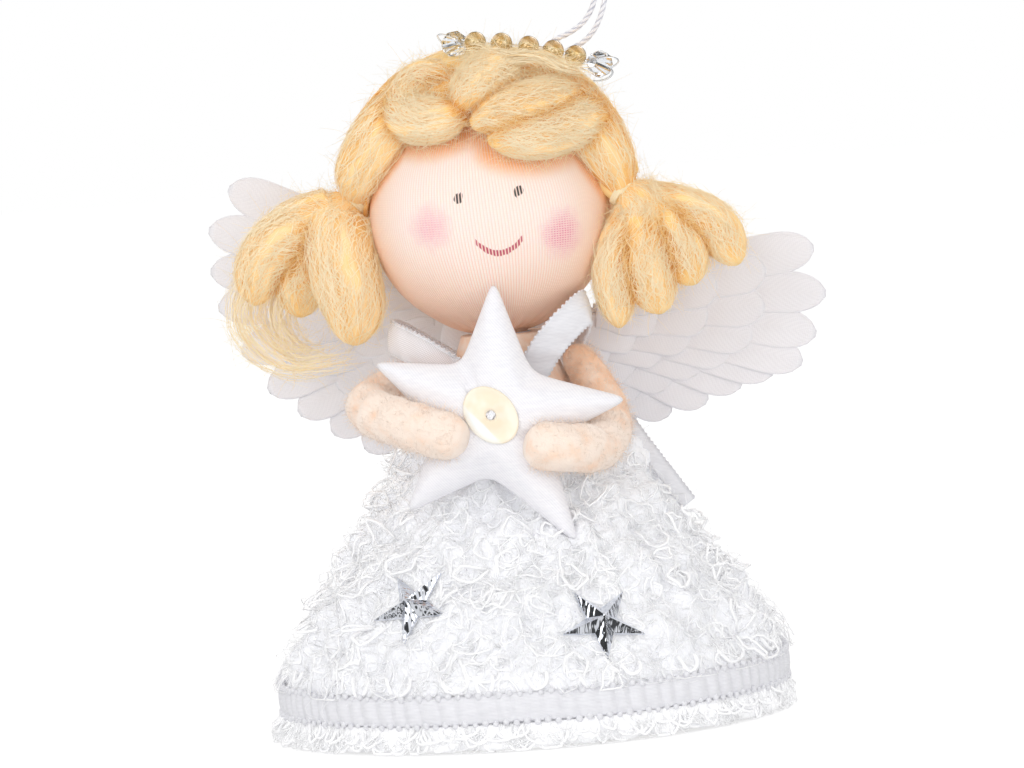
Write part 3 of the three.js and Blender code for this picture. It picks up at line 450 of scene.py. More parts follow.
def makeStudio():
    scene = bpy.context.scene
    scene.view_settings.view_transform = "Standard"
    for name, (place, side, power) in studio["lamps"].items():
        data = bpy.data.lights.new(name, "AREA")
        data.size = side
        data.energy = power
        lamp = bpy.data.objects.new(name, data)
        lamp.location = place
        lamp.rotation_euler = (Vector(place) - Vector((0, 0, 0.07))).to_track_quat("Z", "Y").to_euler()
        scene.collection.objects.link(lamp)

    world = bpy.data.worlds.new("room")
    scene.world = world
    world.use_nodes = True
    world.node_tree.nodes.clear()
    start = Wire(world.node_tree.nodes.new("ShaderNodeTexCoord").outputs["Generated"])
    path = start.node("LightPath").socket.node
    seen, glossy, through = (Wire(path.outputs[n]) for n in
                             ("Is Camera Ray", "Is Glossy Ray", "Is Transmission Ray"))
    x, y, z = axes(start)
    # mirrors see a dim room crossed by broad bright windows
    waveX, waveY, waveZ, begin = studio["windows"]
    windows = rise(sine(x * waveX + y * waveY + z * waveZ + begin), -0.5, 0.6)
    reflected = studio["dark"][0] + windows * (1 - studio["dark"][0])
    direct = seen.math("MAXIMUM", seen, through)
    level = direct + (1 - direct) * (glossy * reflected + (1 - glossy) * studio["fill"])
    room = start.node("Background", {}, {"Color": (1, 1, 1, 1), "Strength": level})
    output = world.node_tree.nodes.new("ShaderNodeOutputWorld")
    world.node_tree.links.new(room.socket, output.inputs["Surface"])

    # one wide level sheet just under the base
    half, low = studio["floorHalf"], studio["floorTop"]
    grid = np.array([[[-half, -half, low], [half, -half, low], [half, half, low], [-half, half, low]]])
    grid = np.concatenate([grid - [0, 0, 1.0], grid])
    finish = bpy.data.materials.new("pale floor")
    finish.use_nodes = True
    finish.node_tree.nodes.clear()
    path = Wire(finish.node_tree.nodes.new("ShaderNodeLightPath").outputs["Is Camera Ray"])
    sockets = path.socket.node.outputs
    seen = path.math("MAXIMUM", path, Wire(sockets["Is Transmission Ray"]))
    level = seen * (studio["glow"] - studio["bounce"]) + studio["bounce"]
    paint = path.node("BsdfDiffuse", {}, {"Color": (studio["floor"],) * 3 + (1,)})
    glow = path.node("Emission", {}, {"Color": (1, 1, 1, 1), "Strength": level})
    surface = path.node("AddShader", {}, {0: paint, 1: glow})
    x, y, _ = axes(path.node("TexCoord", out=3))
    waveX, waveY, begin = studio["bands"]
    bands = rise(sine(x * waveX + y * waveY + begin), -0.6, 0.6)
    dim = path.node("Emission", {}, {"Color": (1, 1, 1, 1), "Strength": studio["dark"][1] + bands * 0.8})
    surface = path.node("MixShader", {}, {0: Wire(sockets["Is Glossy Ray"]), 1: surface, 2: dim})
    output = finish.node_tree.nodes.new("ShaderNodeOutputMaterial")
    finish.node_tree.links.new(surface.socket, output.inputs["Surface"])
    putPiece("floor", [skinOver(grid)], finish, smooth=False)


makeCamera()
makeStudio()
print("camera and studio: done")


# Hanging cord

cord = {
    "knot": (12.562, 7.367, 122.079),
    "points": [
        (-0.9, -0.2, 1.8), (-0.3, -0.8, 2.9), (2.4, -1.2, 4), (4.7, -1.3, 5.3), (6.5, -1.3, 7.1),
        (7.9, -1.3, 9.9), (8.7, -1.3, 13.9), (9, -1.3, 18.9), (8.7, -1.3, 24.9), (8.1, -1.3, 30.9),
        (8.3, -1.3, 35.4), (9.7, -1.3, 38.2), (11.5, -1.3, 38.5), (13.1, -1.3, 36.1), (13.4, -1.3, 31.4),
        (12.5, -1.3, 24.9), (11.4, -1.3, 18.9), (10.5, -1.3, 13.9), (9.8, -1.3, 9.9), (9, -1.3, 7.3),
        (7.5, -1.2, 4.5), (5.5, -0.9, 2.5), (3.3, -0.6, 1.4), (1.8, -0.3, 0.8),
    ],
    "radius": 0.5,
    "lay": 1.5,  # length of one turn of the strands
    "knotRadius": 0.52, "tight": 0.42,  # cord in the knot, and how far its path is drawn in
}


def makeCord(finish):
    knotAt = np.array(cord["knot"])
    path = smoothPath(np.array(cord["points"]) + knotAt, 260)
    run = np.linspace(0, pathLength(path), len(path))[:, None]
    a = turnsOf(18)
    # three strands laid round each other
    strand = np.abs(np.cos(1.5 * (a - fullTurn * run / (3 * cord["lay"]))))
    thick = cord["radius"] * (0.84 + 0.2 * strand)
    # painted shade: the grooves between the strands darker, the crests paler
    skin = roundTube(path, thick, (0, -1, 0.02), 18, 0.1 + 0.6 * strand)
    loop = addPiece("cordLoop", [skin], finish, "cord", "hang_loop")

    # overhand knot: a trefoil path, pulled tight
    t = np.linspace(0, fullTurn, 96, endpoint=False)
    trefoil = [np.sin(t) + 2 * np.sin(2 * t), np.cos(t) - 2 * np.cos(2 * t), -1.6 * np.sin(3 * t)]
    grid = hoopTube(np.stack(trefoil, 1) * cord["tight"], cord["knotRadius"], (0.03, 0.02, 1), 12)
    knot = addPiece("cordKnot", [skinOver(grid + knotAt, 0.7, hoop=True)], finish, "cord", "hang_knot")
    print("cord:", round(pathLength(path), 1), "mm")


cordWhite = yarnFinish("cord white", tint(178, 182, 200), tint(244, 245, 250))
makeCord(cordWhite)


# Skirt of loop pile

skirt = {
    "hem": (46.0, 43.0), "waist": (19.0, 12.5), "bandTop": 11.0, "top": 52.0, "foot": 0.5, "wall": 1.8,
    "strands": [  # loops in a band, half size of the yarn, sizes of the loops, share that stands out
        (900, 0.085, (1.2, 3.4), 0.18),
        (300, 0.24, (1.1, 2.3), 0.25),
    ],
    "low": (11.5, 33.0), "high": (26.0, 52.5),  # heights of the two bands
    "hung": (-128, -117, -103, -96, -84, -71, -62, -47, -33, -14, 20, 66, 118, 160, 205),  # azimuths
    "hungYarn": 0.36, "hungAt": 13.6, "hungWide": (1.6, 3.4), "hungDrop": (1.5, 4.5),
    "fuzz": 3000, "fuzzSize": 0.028, "fuzzReach": (2.5, 7.0), "fuzzFloor": 0.3, "seed": 11,
    "core": (1.5, 6.0, 11.0, 20.0, 30.0, 40.0, 52.0), "coreIn": 2.1,  # rings of the wadding, inside the cone
    "tufts": (14, 10, 7.5, 5.5, 4.4, 3.4), "tuft": 0.54,  # lengths of the waves in the pile, and their height
    "gems": ("left_skirt_star", "right_skirt_star"), "gemRoom": (5.0, 9.0), "tailRoom": 1.9,
}


def skirtHalf(z):  # half width and half depth of the cone at a height
    share = np.clip((z - skirt["bandTop"]) / (skirt["top"] - skirt["bandTop"]), 0, 1)
    return mix(skirt["hem"][0], skirt["waist"][0], share), mix(skirt["hem"][1], skirt["waist"][1], share)


def onSkirt(turn, z, proud=0.0):
    wide, deep = skirtHalf(z)
    return ovalRing(wide + proud, deep + proud, turn, z)


def skirtFrame(turn, z):  # way round, way up the slope, and way out
    around = unit(onSkirt(turn + 0.01, z) - onSkirt(turn - 0.01, z))
    up = unit(onSkirt(turn, z + 0.3) - onSkirt(turn, z - 0.3))
    return around, up, np.cross(around, up)


tuftWaves = waveSet(skirt["tufts"], np.random.default_rng(skirt["seed"] + 1))


def gemPlaces():  # middle of each mirror star and the way it looks
    for node in skirt["gems"]:
        middle = np.mean([list(corner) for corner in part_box(node)], axis=0) / mm
        wide, deep = skirtHalf(middle[2])
        turn = np.arctan2(middle[1] / deep, middle[0] / wide)
        yield middle, skirtFrame(np.array([turn]), np.array([middle[2]]))[2][0]


def besideGems(points):  # distance of points from the axis of the nearer mirror star
    away = 1e3
    for middle, out in gemPlaces():
        gap = points - middle
        away = np.minimum(away, np.linalg.norm(gap - (gap @ out)[..., None] * out, axis=-1))
    return away


def onPile(turn, z, proud=0.0):
    # the tufted cloth: the cone raised by a sum of sine waves, flat under the mirror stars and the hem ribbon
    cone = onSkirt(turn, z)
    tuft = 0.35 + skirt["tuft"] * sum(np.sin(cone @ way + start) for way, start in tuftWaves)
    tuft = mix(-0.3, tuft, ease(besideGems(cone), *skirt["gemRoom"]) * ease(cone[..., 2], 10, 15))
    return cone + (tuft + proud)[..., None] * skirtFrame(*np.broadcast_arrays(turn, z))[2]


def farFromTail(path):  # strands that would cover the loose ribbon end are left out
    tail = smoothPath(straps["tail"], 40)
    away = np.linalg.norm(path[:, :, None] - tail[None, None], axis=-1)
    return away.min(axis=(1, 2)) > skirt["tailRoom"]


def yarnLoops(count, yarn, sizes, standing, low, high, dice):
    # loops of yarn laid on the tufts: a circle stretched and turned in the cloth's own plane, most of them
    # hanging down, with a slow wave along it; a share of them stands out, none beside a mirror star
    share = dice.uniform(0, 1, (count, 1))
    z = low + (high - low) * (1 - np.sqrt(1 - 0.86 * share)) / (1 - np.sqrt(0.14))
    turn = dice.uniform(0, fullTurn, (count, 1))
    way = dice.normal(-np.pi / 2, 1.0, (count, 1))
    radius = dice.uniform(*sizes, (count, 1))
    t = np.linspace(-0.45 * np.pi, 1.45 * np.pi, 13)
    long = dice.uniform(0.8, 1.9, (count, 1))
    start = dice.uniform(0, fullTurn, (count, 1))
    across = radius * (np.cos(t) + 0.25 * np.sin(2 * t + start))
    onward = radius * ((1 + np.sin(t)) * long + 0.25 * np.sin(3 * t + 2 * start))
    around = onward * np.cos(way) - across * np.sin(way)
    climb = onward * np.sin(way) + across * np.cos(way)
    arm = np.linalg.norm(onSkirt(turn + 0.01, z) - onSkirt(turn - 0.01, z), axis=-1) / 0.02
    turns = turn + around / arm
    level = np.clip(z + 0.83 * climb, 9.8, 53.5)
    up = dice.uniform(0, 1, (count, 1)) < standing
    stand = np.where(up, dice.uniform(0.8, 3.2, (count, 1)), dice.uniform(0, 0.3, (count, 1)))
    stand = stand * np.clip(np.sin(np.pi * np.linspace(0, 1, 13)), 0, 1) ** 0.7
    stand = stand * ease(besideGems(onSkirt(turns, level)), *skirt["gemRoom"])
    path = onPile(turns, level, stand + 0.4 * yarn)
    keep = farFromTail(path)
    thick = yarn * dice.uniform(0.6, 1.4, (count, 1, 1))
    tone = dice.uniform(0.5, 1, (count, 1, 1))
    out = skirtFrame(turn, z)[2]
    return roundTube(path[keep], thick[keep], out[keep], 4 if yarn > 0.15 else 3, tone[keep])


def makeSkirt(cloth, pile, wadding):
    dice = np.random.default_rng(skirt["seed"])
    turn = turnsOf(260)
    rows = np.concatenate([[skirt["foot"], 4, 8], np.linspace(10, skirt["top"], 40)])[:, None]
    outer = onPile(turn, rows)
    inner = onSkirt(turn, rows[::-8], -skirt["wall"])
    skin = skinOver(np.concatenate([outer, inner]), 0.35, hoop=True)
    base = addPiece("skirtCloth", [skin], cloth, "pile", "skirt_cover")

    # long loops that hang over the ribbon at the hem
    turns = np.radians(np.array(skirt["hung"]))
    side, _, out = skirtFrame(turns, np.full(len(turns), 12.5))
    t = np.linspace(0, np.pi, 16)[None, :, None]
    wide = dice.uniform(*skirt["hungWide"], (len(turns), 1, 1))
    drop = dice.uniform(*skirt["hungDrop"], (len(turns), 1, 1))
    path = wide * np.cos(t) * side[:, None] * (1 + 0.25 * np.sin(2 * t))
    path = onSkirt(turns, skirt["hungAt"], 0.7)[:, None] + path
    path = path + (1.4 * np.sin(t) ** 0.7 + 0.4) * out[:, None] * [1, 1, 0.2] - drop * np.sin(t) * [0, 0, 1]
    hung = roundTube(path, skirt["hungYarn"], out[:, None], 6, 0.9)
    strands = lambda band: [yarnLoops(*kind, *skirt[band], dice) for kind in skirt["strands"]]
    low = addPiece("skirtLoopsLow", strands("low") + [hung], pile, "pile")
    high = addPiece("skirtLoopsHigh", strands("high"), pile, "pile")

    # fine loose fibres over the loops
    count = skirt["fuzz"]
    z = 9 + 44 * dice.uniform(0, 1, count) ** 1.15
    around = dice.uniform(0, fullTurn, count)
    side, up, out = skirtFrame(around, z)
    t = np.linspace(0, 1, 6)[None, :, None]
    bend = dice.normal(size=(3, count, 1, 1))
    reach = dice.uniform(*skirt["fuzzReach"], (count, 1, 1))
    path = reach * (t * bend[0] * 0.6 * side[:, None] + t * bend[1] * 0.6 * up[:, None])
    path = path + reach * np.sin(np.pi * t * 1.1) * 0.3 * np.abs(bend[2]) * out[:, None]
    path = path + 0.25 * reach * np.sin(7 * t + bend[0]) * side[:, None] + onPile(around, z, 0.5)[:, None]
    keep = farFromTail(path) & (besideGems(path).min(axis=1) > skirt["gemRoom"][0])
    keep = keep & (path[..., 2].min(axis=1) > skirt["fuzzFloor"])  # none reaches into the floor
    tone = dice.uniform(0.7, 1, (np.sum(keep), 1, 1))
    fuzz = roundTube(path[keep], skirt["fuzzSize"], out[keep][:, None], 3, tone)
    addPiece("skirtFuzz", [fuzz], pile, "pile")

    turn = turnsOf(72)
    core = onSkirt(turn, np.array(skirt["core"])[:, None], -skirt["coreIn"])
    addPiece("skirtWadding", [skinOver(core, 0.5)], wadding, "filling", "body_filling")
    print("skirt: cloth, loops, fibres")


# Hem: gathered ribbon with picot edges over a looped ruffle

hem = {
    "foot": 5.2, "top": 10.2, "gap": 0.3, "pleats": 92, "pleatDepth": 0.6, "picots": 158, "picot": 0.62,
    "ruffle": [(190, 0.27), (700, 0.1)],  # loops of the ruffle and half size of their yarn
    "ruffleRows": (0.5, 1.6, 3.2, 4.9), "waves": 34,  # heights of its band, and the waves round it
    "loopRoot": (3.2, 4.9), "loopWide": (0.8, 3.0), "loopDrop": (1.2, 4.4), "seed": 23,
}


def onHem(turn, z, proud):
    return ovalRing(skirt["hem"][0] + proud, skirt["hem"][1] + proud, turn, z)


def makeHem(satin, pile):
    dice = np.random.default_rng(hem["seed"])
    turn = turnsOf(920)
    share = np.array([0.0, 0.06, 0.2, 0.4, 0.6, 0.8, 0.94, 1.0])[:, None]
    wander = 0.9 * np.sin(5 * turn) + 0.7 * np.sin(13 * turn + 1) + 0.5 * np.sin(29 * turn + 2)
    fold = np.abs(np.sin(0.5 * (hem["pleats"] * turn + wander + 1.3 * share)))  # sharp valleys, round ridges
    belly = np.sin(np.pi * share) ** 0.6
    proud = hem["gap"] + 0.55 + hem["pleatDepth"] * fold * (0.45 + 0.55 * belly) + 0.25 * belly
    z = mix(hem["foot"], hem["top"], share) + 0.12 * np.sin(7 * turn)
    outer = onHem(turn, z, proud)
    inner = onHem(turn, z[::-1], hem["gap"])
    tone = np.concatenate([0.3 + 0.7 * fold, 0.3 + 0 * fold])
    ribbon = skinOver(np.concatenate([outer, inner]), tone, hoop=True)

    # picots: tiny knobs in two rows along the edges, every other one a little higher
    count = hem["picots"]
    at = np.arange(2 * count) % count
    row = np.arange(2 * count) // count
    turns = fullTurn * (at + 0.5 * row) / count
    edge = np.where(row == 0, hem["foot"] - 0.05, hem["top"] + 0.05)
    level = edge + 0.16 * (-1.0) ** at + 0.12 * np.sin(7 * turns)
    middle = onHem(turns, level, 1.15)
    knob = knobShape(62)[None] * (hem["picot"] * dice.uniform(0.85, 1.15, (2 * count, 1, 1, 1)))
    picots = skinOver(middle[:, None, None] + knob, 1.0)
    addPiece("hemRibbon", [ribbon, picots], satin, "satin", "hem_ribbon")

    # ruffle: a waved band with two rows of yarn loops hanging over it
    turn = turnsOf(360)
    z = np.array(hem["ruffleRows"])[:, None]
    wave = 0.55 * (1 + np.cos(hem["waves"] * turn + 1.2 * np.sin(5 * turn))) * (1 - (z - z[0]) / 4.6)
    lump = 0.3 * ripple(onHem(turn, z, 0.0), (6, 4, 2.5), dice)
    outer = onHem(turn, z, hem["gap"] + 0.7 + wave + lump)
    inner = onHem(turn, z[::-1], hem["gap"])
    parts = [skinOver(np.concatenate([outer, inner]), 0.5, hoop=True)]
    for count, yarn in hem["ruffle"]:
        turns = fullTurn * (np.arange(count) + dice.uniform(-0.5, 0.5, count)) / count
        around = np.stack([-np.sin(turns), np.cos(turns), 0 * turns], 1)[:, None]
        out = np.stack([np.cos(turns), np.sin(turns), 0 * turns], 1)[:, None]
        t = np.linspace(-0.15, np.pi + 0.15, 13)[None, :, None]
        wide = dice.uniform(*hem["loopWide"], (count, 1, 1))
        drop = dice.uniform(*hem["loopDrop"], (count, 1, 1))
        lean = dice.normal(0, 0.6, (count, 1, 1))
        puff = dice.uniform(0.4, 1.6, (count, 1, 1)) + 0.9 * ease(-np.cos(turns), 0.3, 1)[:, None, None]
        root = onHem(turns, dice.uniform(*hem["loopRoot"], count), 1.0)[:, None]
        path = root + (wide * np.cos(t) + lean * np.sin(t)) * around
        path = path + puff * np.sin(t) * out - drop * np.sin(t) * [0, 0, 1]
        path = path + 0.35 * np.sin(3 * t + turns[:, None, None] * 40) * around
        path[..., 2] = np.clip(path[..., 2], yarn + 0.1, hem["foot"])
        tone = dice.uniform(0.5, 1, (count, 1, 1))
        parts.append(roundTube(path, yarn, out, 5 if yarn > 0.2 else 3, tone))
    addPiece("hemRuffle", parts, pile, "pile", "hem_ruffle")
    print("hem: ribbon, picots, ruffle")


pileWhite = yarnFinish("white loop yarn", tint(244, 245, 250), tint(254, 254, 255), 0.08)
satinWhite = satinFinish(
    "white satin", tint(234, 233, 239), tint(247, 246, 249), pitch=0.42, slant=(0.77, 0.0, 0.64), gloss=0.42)
ribbonSatin = satinFinish(
    "ribbon satin", tint(222, 222, 227), tint(240, 240, 244), pitch=0.25, slant=(0.0, 0.0, 1.0), gloss=0.4)
wadding = grainFinish("wadding", tint(226, 226, 228), tint(248, 248, 250), scale=0.6, rough=0.95, depth=0.6)
makeHem(ribbonSatin, pileWhite)


# Head: knit drawn over a ball

head = {
    "centre": (-1.3, 0.0, 93.9), "half": (22.4, 21.0, 21.6),
    "mouth": -76.5,  # elevation where the knit closes to the neck
    "neck": ((4.3, 66.2), (4.7, 71.5)),  # half width and height of its two rings
    "knitDeep": 1.6,
}
hair = {
    "centre": (-1.3, 0.0, 96.5), "half": (27.2, 26.0, 28.6), "edge": 2.5, "seed": 5,
    "line": ((0, 60, 86, 180), (50, 50, 6, -26)),  # azimuths from the middle and elevations of the lower edge
    "lineMiddle": 6,
}
fringeLook = {
    "radius": 3.7, "fat": 1.22, "tuck": 2.6,
    "ways": [  # azimuth, elevation and lift of each lock over the head
        [(-22, 72, 3.5), (-52, 63, 2.5), (-47, 50, 0.5), (-22, 47, 0), (-3, 53, 1)],
        [(-7, 50, 2.5), (12, 60, 4.5), (36, 66, 5)],
        [(0, 43, 1), (32, 46, 2), (76, 50, 3)],
        [(8, 36, 0), (33, 35, 0), (62, 38, 1.5), (84, 40, 2)],
    ],
    "fibres": 1000, "fuzz": 1300,
}
tieLook = {
    "left": {"azimuth": -86.0, "elevation": 13.0, "root": (-29.172, -1.854, 96.084)},
    "right": {"azimuth": 80.0, "elevation": 8.0, "root": (26.606, -4.680, 94.017)},
    "thread": 0.26, "wound": 2.75, "turns": 3, "pitch": 0.4,  # thread round the wool and its helix
    "stub": 2.5, "stubEnds": (-3.5, 2.4),  # the drawn wool inside it
}


def onEgg(half, azimuth, elevation):  # azimuth 0 is the face, 90 the right ear
    a, e = np.broadcast_arrays(np.radians(azimuth), np.radians(elevation))
    flat = np.cos(e)
    return np.stack([half[0] * flat * np.sin(a), -half[1] * flat * np.cos(a), half[2] * np.sin(e)], -1)


def hairline(azimuth):  # lower edge of the wool: over the brow, down to the ties, low at the nape
    side = np.abs((azimuth - hair["lineMiddle"] + 540) % 360 - 180)
    return np.interp(side, *hair["line"])


def unshadedShare(points, others, reach=2.6):  # painted shade share: 0 where another lock presses on a point, painted darkest, 1 where nothing is near, no painted shade
    flat = points.reshape(-1, 3)
    shadeFree = np.ones(len(flat))
    for lock in others:
        radius = 0.5 * (lock["wide"] + lock["deep"])
        away = np.linalg.norm(flat[:, None] - lock["path"][None, ::3], axis=2) - radius[None, ::3]
        shadeFree = np.minimum(shadeFree, ease(away.min(axis=1), -0.4, reach))
    return shadeFree.reshape(points.shape[:-1])


def unshadedOnLock(points, others, u, root):  # as the painted shade share above, but a lock gets no painted shade near its root
    return np.maximum(unshadedShare(points, others), 0.8 * (1 - ease(u, root, 2 * root + 0.01)))


def lockOf(points, fullness, lead, rows=42):  # a lock of roving: its path and its half sizes along it
    path = smoothPath(points, rows)
    radius = fullness(np.linspace(0, 1, rows))
    return {"path": path, "wide": radius, "deep": radius, "lead": np.broadcast_to(lead, path.shape)}


def overHead(way, stand):  # points in directions over the head, each at its own lift
    azimuth, elevation, lift = np.array(way, float).T
    half = np.array(head["half"])[:, None] + stand + lift
    return onEgg(half, azimuth, elevation) + head["centre"]


def fringeLocks():
    radius = fringeLook["radius"]
    belly = lambda u: np.sqrt(np.clip(1 - np.abs(2 * u - 1) ** 3, 0.004, 1))
    full = lambda u: fringeLook["fat"] * radius * belly(u)
    locks = []
    for way in fringeLook["ways"]:
        lock = lockOf(overHead(way, radius + 0.3), full, (0, 0, 1))
        lead = unit(lock["path"] - head["centre"])
        inside = fringeLook["tuck"] * (1 - belly(np.linspace(0, 1, len(lead))))
        lock["path"] = lock["path"] - inside[:, None] * lead
        lock["lead"] = lead
        locks.append(lock)
    return locks


def tieOf(side):  # middle of a tie and the way the wool runs out through it
    look = tieLook[side]
    half = np.array(head["half"]) + hair["edge"]
    middle = onEgg(half, look["azimuth"], look["elevation"]) + head["centre"]
    a = np.radians(look["azimuth"])
    return middle, unit(np.array([0.75 * np.sin(a), -0.75 * np.cos(a), -0.66]))


halo = {
    "radius": 15.4, "tilt": 12.0, "pitch": 12.0, "centre": (8.020, 1.5, 121.530),
    "beads": (-37, -16, 3, 20, 37), "crystals": (-61, 61),  # azimuths
    "bead": 2.0, "bore": 0.5, "boreHalf": 1.82, "thread": 0.2,
    "loop": 3.3, "loopThread": 0.16,  # the thread's way back round each end stone
    "cut": [(1.15, -2.7), (2.3, -1.0), (2.55, -0.25), (2.55, 0.25), (2.3, 1.0), (1.15, 2.7), (0.5, 2.7),
            (0.5, -2.7)],  # profile of an end stone: radius and length
}


def haloPlace(points):
    return turnAbout(turnAbout(points, "x", -halo["pitch"]), "y", halo["tilt"]) + halo["centre"]


capLook = {
    "partings": (84, 106, 128, 150, 172, 194), "deep": 3.0, "wide": 6.6, "fibres": 110, "fuzz": 50,
    "rolls": {  # the fat roll down each side of the face: azimuth, elevation and lift over the head
        "left": [(-26, 76, 0.5), (-50, 62, 1.0), (-61, 48, 1.0), (-68, 33, 0.4), (-78, 21, 0)],
        "right": [(34, 76, 1.0), (58, 62, 2.2), (68, 44, 1.6), (73, 27, 0.6), (78, 15, 0)],
    },
    "rollSize": ((0, 3.4), (0.3, 4.9), (0.6, 5.5), (0.82, 4.8), (0.93, 3.4), (1, 2.4)),
    "rollFibres": 640, "rollFuzz": 300,
}
hairLook = {"span": (0.14, 0.42), "fuzzLong": (1.2, 5.0), "fuzzSize": 0.034}  # share of a lock, and lengths
wispLook = {"reach": 16.6, "drop": -2.2, "azimuths": (-50, 46), "rows": 30, "half": 1.1, "fibres": 260}


def capLocks():
    # over each side of the head: one fat roll beside the face, then a fan of locks that run over the hair egg
    # from the middle parting to the tie, each as a great circle
    half = np.array(hair["half"]) - 0.8 * capLook["deep"]
    locks = []
    for side in ("left", "right"):
        middle, out = tieOf(side)
        share, grow = zip(*capLook["rollSize"])
        points = np.vstack([overHead(capLook["rolls"][side], 3.0), middle + 0.8 * out])
        roll = lockOf(points, lambda u: np.interp(u, share, grow), (0, 0, 1), 46)
        roll["lead"] = unit(roll["path"] - head["centre"])
        locks.append(roll)
        goal = unit((middle - hair["centre"]) / np.array(hair["half"]))
        for k, angle in enumerate(capLook["partings"]):
            start = np.array([0.0, -np.cos(np.radians(angle)), np.sin(np.radians(angle))])
            wide = np.arccos(np.clip(start @ goal, -1, 1))
            t = np.linspace(-0.04, 0.93, 9)[:, None]
            way = (np.sin((1 - t) * wide) * start + np.sin(t * wide) * goal) / np.sin(wide)
            bulge = 1 + 0.03 * np.sin(np.pi * t) * (1 if k % 2 else -0.3)
            points = np.vstack([way * half * bulge + hair["centre"], middle + 0.6 * out])
            full = lambda u: mix(capLook["wide"], 2.0, ease(u, 0.55, 1.0)) * (0.72 + 0.28 * ease(u, 0, 0.25))
            lock = lockOf(points, full, (0, 0, 1), 36)
            lock["lead"] = unit(lock["path"] - hair["centre"])
            lock["deep"] = np.minimum(lock["wide"], capLook["deep"])
            locks.append(lock)
    return locks


def lockBody(lock, others, dice, sides=44, twist=0.7, root=0.0):
    # the lock's own skin: an ellipse with ridges wound slowly round it and soft lumps
    rows = len(lock["path"])
    u = np.linspace(0, 1, rows)[:, None]
    a = turnsOf(sides)
    start = dice.uniform(0, fullTurn, 3)
    ridge = 0.05 * np.cos(3 * a + twist * fullTurn * u + start[0]) + 0.035 * np.cos(7 * a - 4 * u + start[1])
    ridge = ridge + 0.02 * np.cos(12 * a + 6 * u + start[2])
    swell = 0.95 + ridge * np.sin(np.pi * np.clip(u, 0.05, 0.95)) ** 0.5
    wide, deep = lock["wide"][:, None] * swell, lock["deep"][:, None] * swell
    grid = tubeGrid(lock["path"], wide, deep, lock["lead"], sides)
    lump = 0.08 * np.minimum(lock["wide"], 3.0)[:, None] * ripple(grid, (7, 4.5, 3), dice)
    grid = grid + lump[..., None] * unit(grid - lock["path"][:, None])
    # tone: painted shade, darker where other locks press and in the grooves between the ridges, paler on the
    # ridges
    return skinOver(grid, unshadedOnLock(grid, others, u, root) * 0.32 + 0.1 + 0.9 * ridge)


def lockFibres(lock, others, count, dice, thick=0.058, twist=0.7, stray=0.12, root=0.0):
    # flat fibres laid along the skin: each keeps its angle round the path and lifts a little
    _, side, up = pathFrame(lock["path"], lock["lead"])
    t = np.linspace(0, 1, 7)
    span = dice.uniform(*hairLook["span"], (count, 1))
    s = dice.uniform(0, 1, (count, 1)) * (1 - span) + span * t
    angle = dice.uniform(0, fullTurn, (count, 1)) + twist * fullTurn * 0.25 * s
    wave = dice.normal(0, 0.1, (count, 1)) * np.sin(13 * t + dice.uniform(0, fullTurn, (count, 1)))
    angle = angle + dice.normal(0, 0.6, (count, 1)) * (t - 0.5) + wave
    loose = (dice.uniform(0, 1, (count, 1)) < stray) * dice.uniform(0.4, 1.8, (count, 1))
    lift = dice.exponential(0.12, (count, 1)) - 0.12 + 0.12 * np.sin(np.pi * t) + loose * (2 * t - 1) ** 2
    path = sample(lock["path"], s)
    path = path + ((sample(lock["wide"], s) + lift) * np.cos(angle))[..., None] * sample(side, s)
    path = path + ((sample(lock["deep"], s) + lift) * np.sin(angle))[..., None] * sample(up, s)
    taper = thick * (0.4 + 0.6 * np.sin(np.pi * t)) * dice.uniform(0.7, 1.25, (count, 1))
    lead = unit(path[:, 3] - sample(lock["path"], s[:, 3]))[:, None]
    # painted shade: a fibre's tone is lower where other locks press
    shadeFree = unshadedOnLock(path, others, s, root)
    tone = 0.12 + shadeFree * dice.uniform(0.35, 0.9, (count, 1)) + dice.uniform(0.0, 0.28, (count, 1))
    skin = skinOver(tubeGrid(path, 1.5 * taper[..., None], 0.6 * taper[..., None], lead, 3), tone[..., None])
    return {**skin, "smooth": False}


def lockFuzz(lock, count, dice):  # fine hairs that leave the skin of a lock and curl away from it
    along, side, up = pathFrame(lock["path"], lock["lead"])
    s = dice.uniform(0.03, 0.97, count)
    angle = dice.uniform(0, fullTurn, (count, 1))
    out = np.cos(angle) * sample(side, s) + np.sin(angle) * sample(up, s)
    base = sample(lock["path"], s) + np.cos(angle) * sample(lock["wide"], s)[:, None] * sample(side, s)
    base = base + np.sin(angle) * sample(lock["deep"], s)[:, None] * sample(up, s)
    way = 0.6 * dice.choice([-1, 1], (count, 1)) * sample(along, s) + 0.4 * out
    way = unit(way + 0.65 * dice.normal(size=(count, 3)))
    curl = unit(dice.normal(size=(count, 3)))
    t = np.linspace(0, 1, 6)[None, :, None]
    long = dice.uniform(*hairLook["fuzzLong"], (count, 1, 1))
    path = base[:, None] - 0.2 * out[:, None] + long * (t * way[:, None] + 0.6 * t * t * curl[:, None])
    thick = hairLook["fuzzSize"] * (1 - 0.6 * t)
    tone = dice.uniform(0.55, 1.0, (count, 1, 1))
    return roundTube(path, thick, out[:, None] + 0.2, 3, tone)


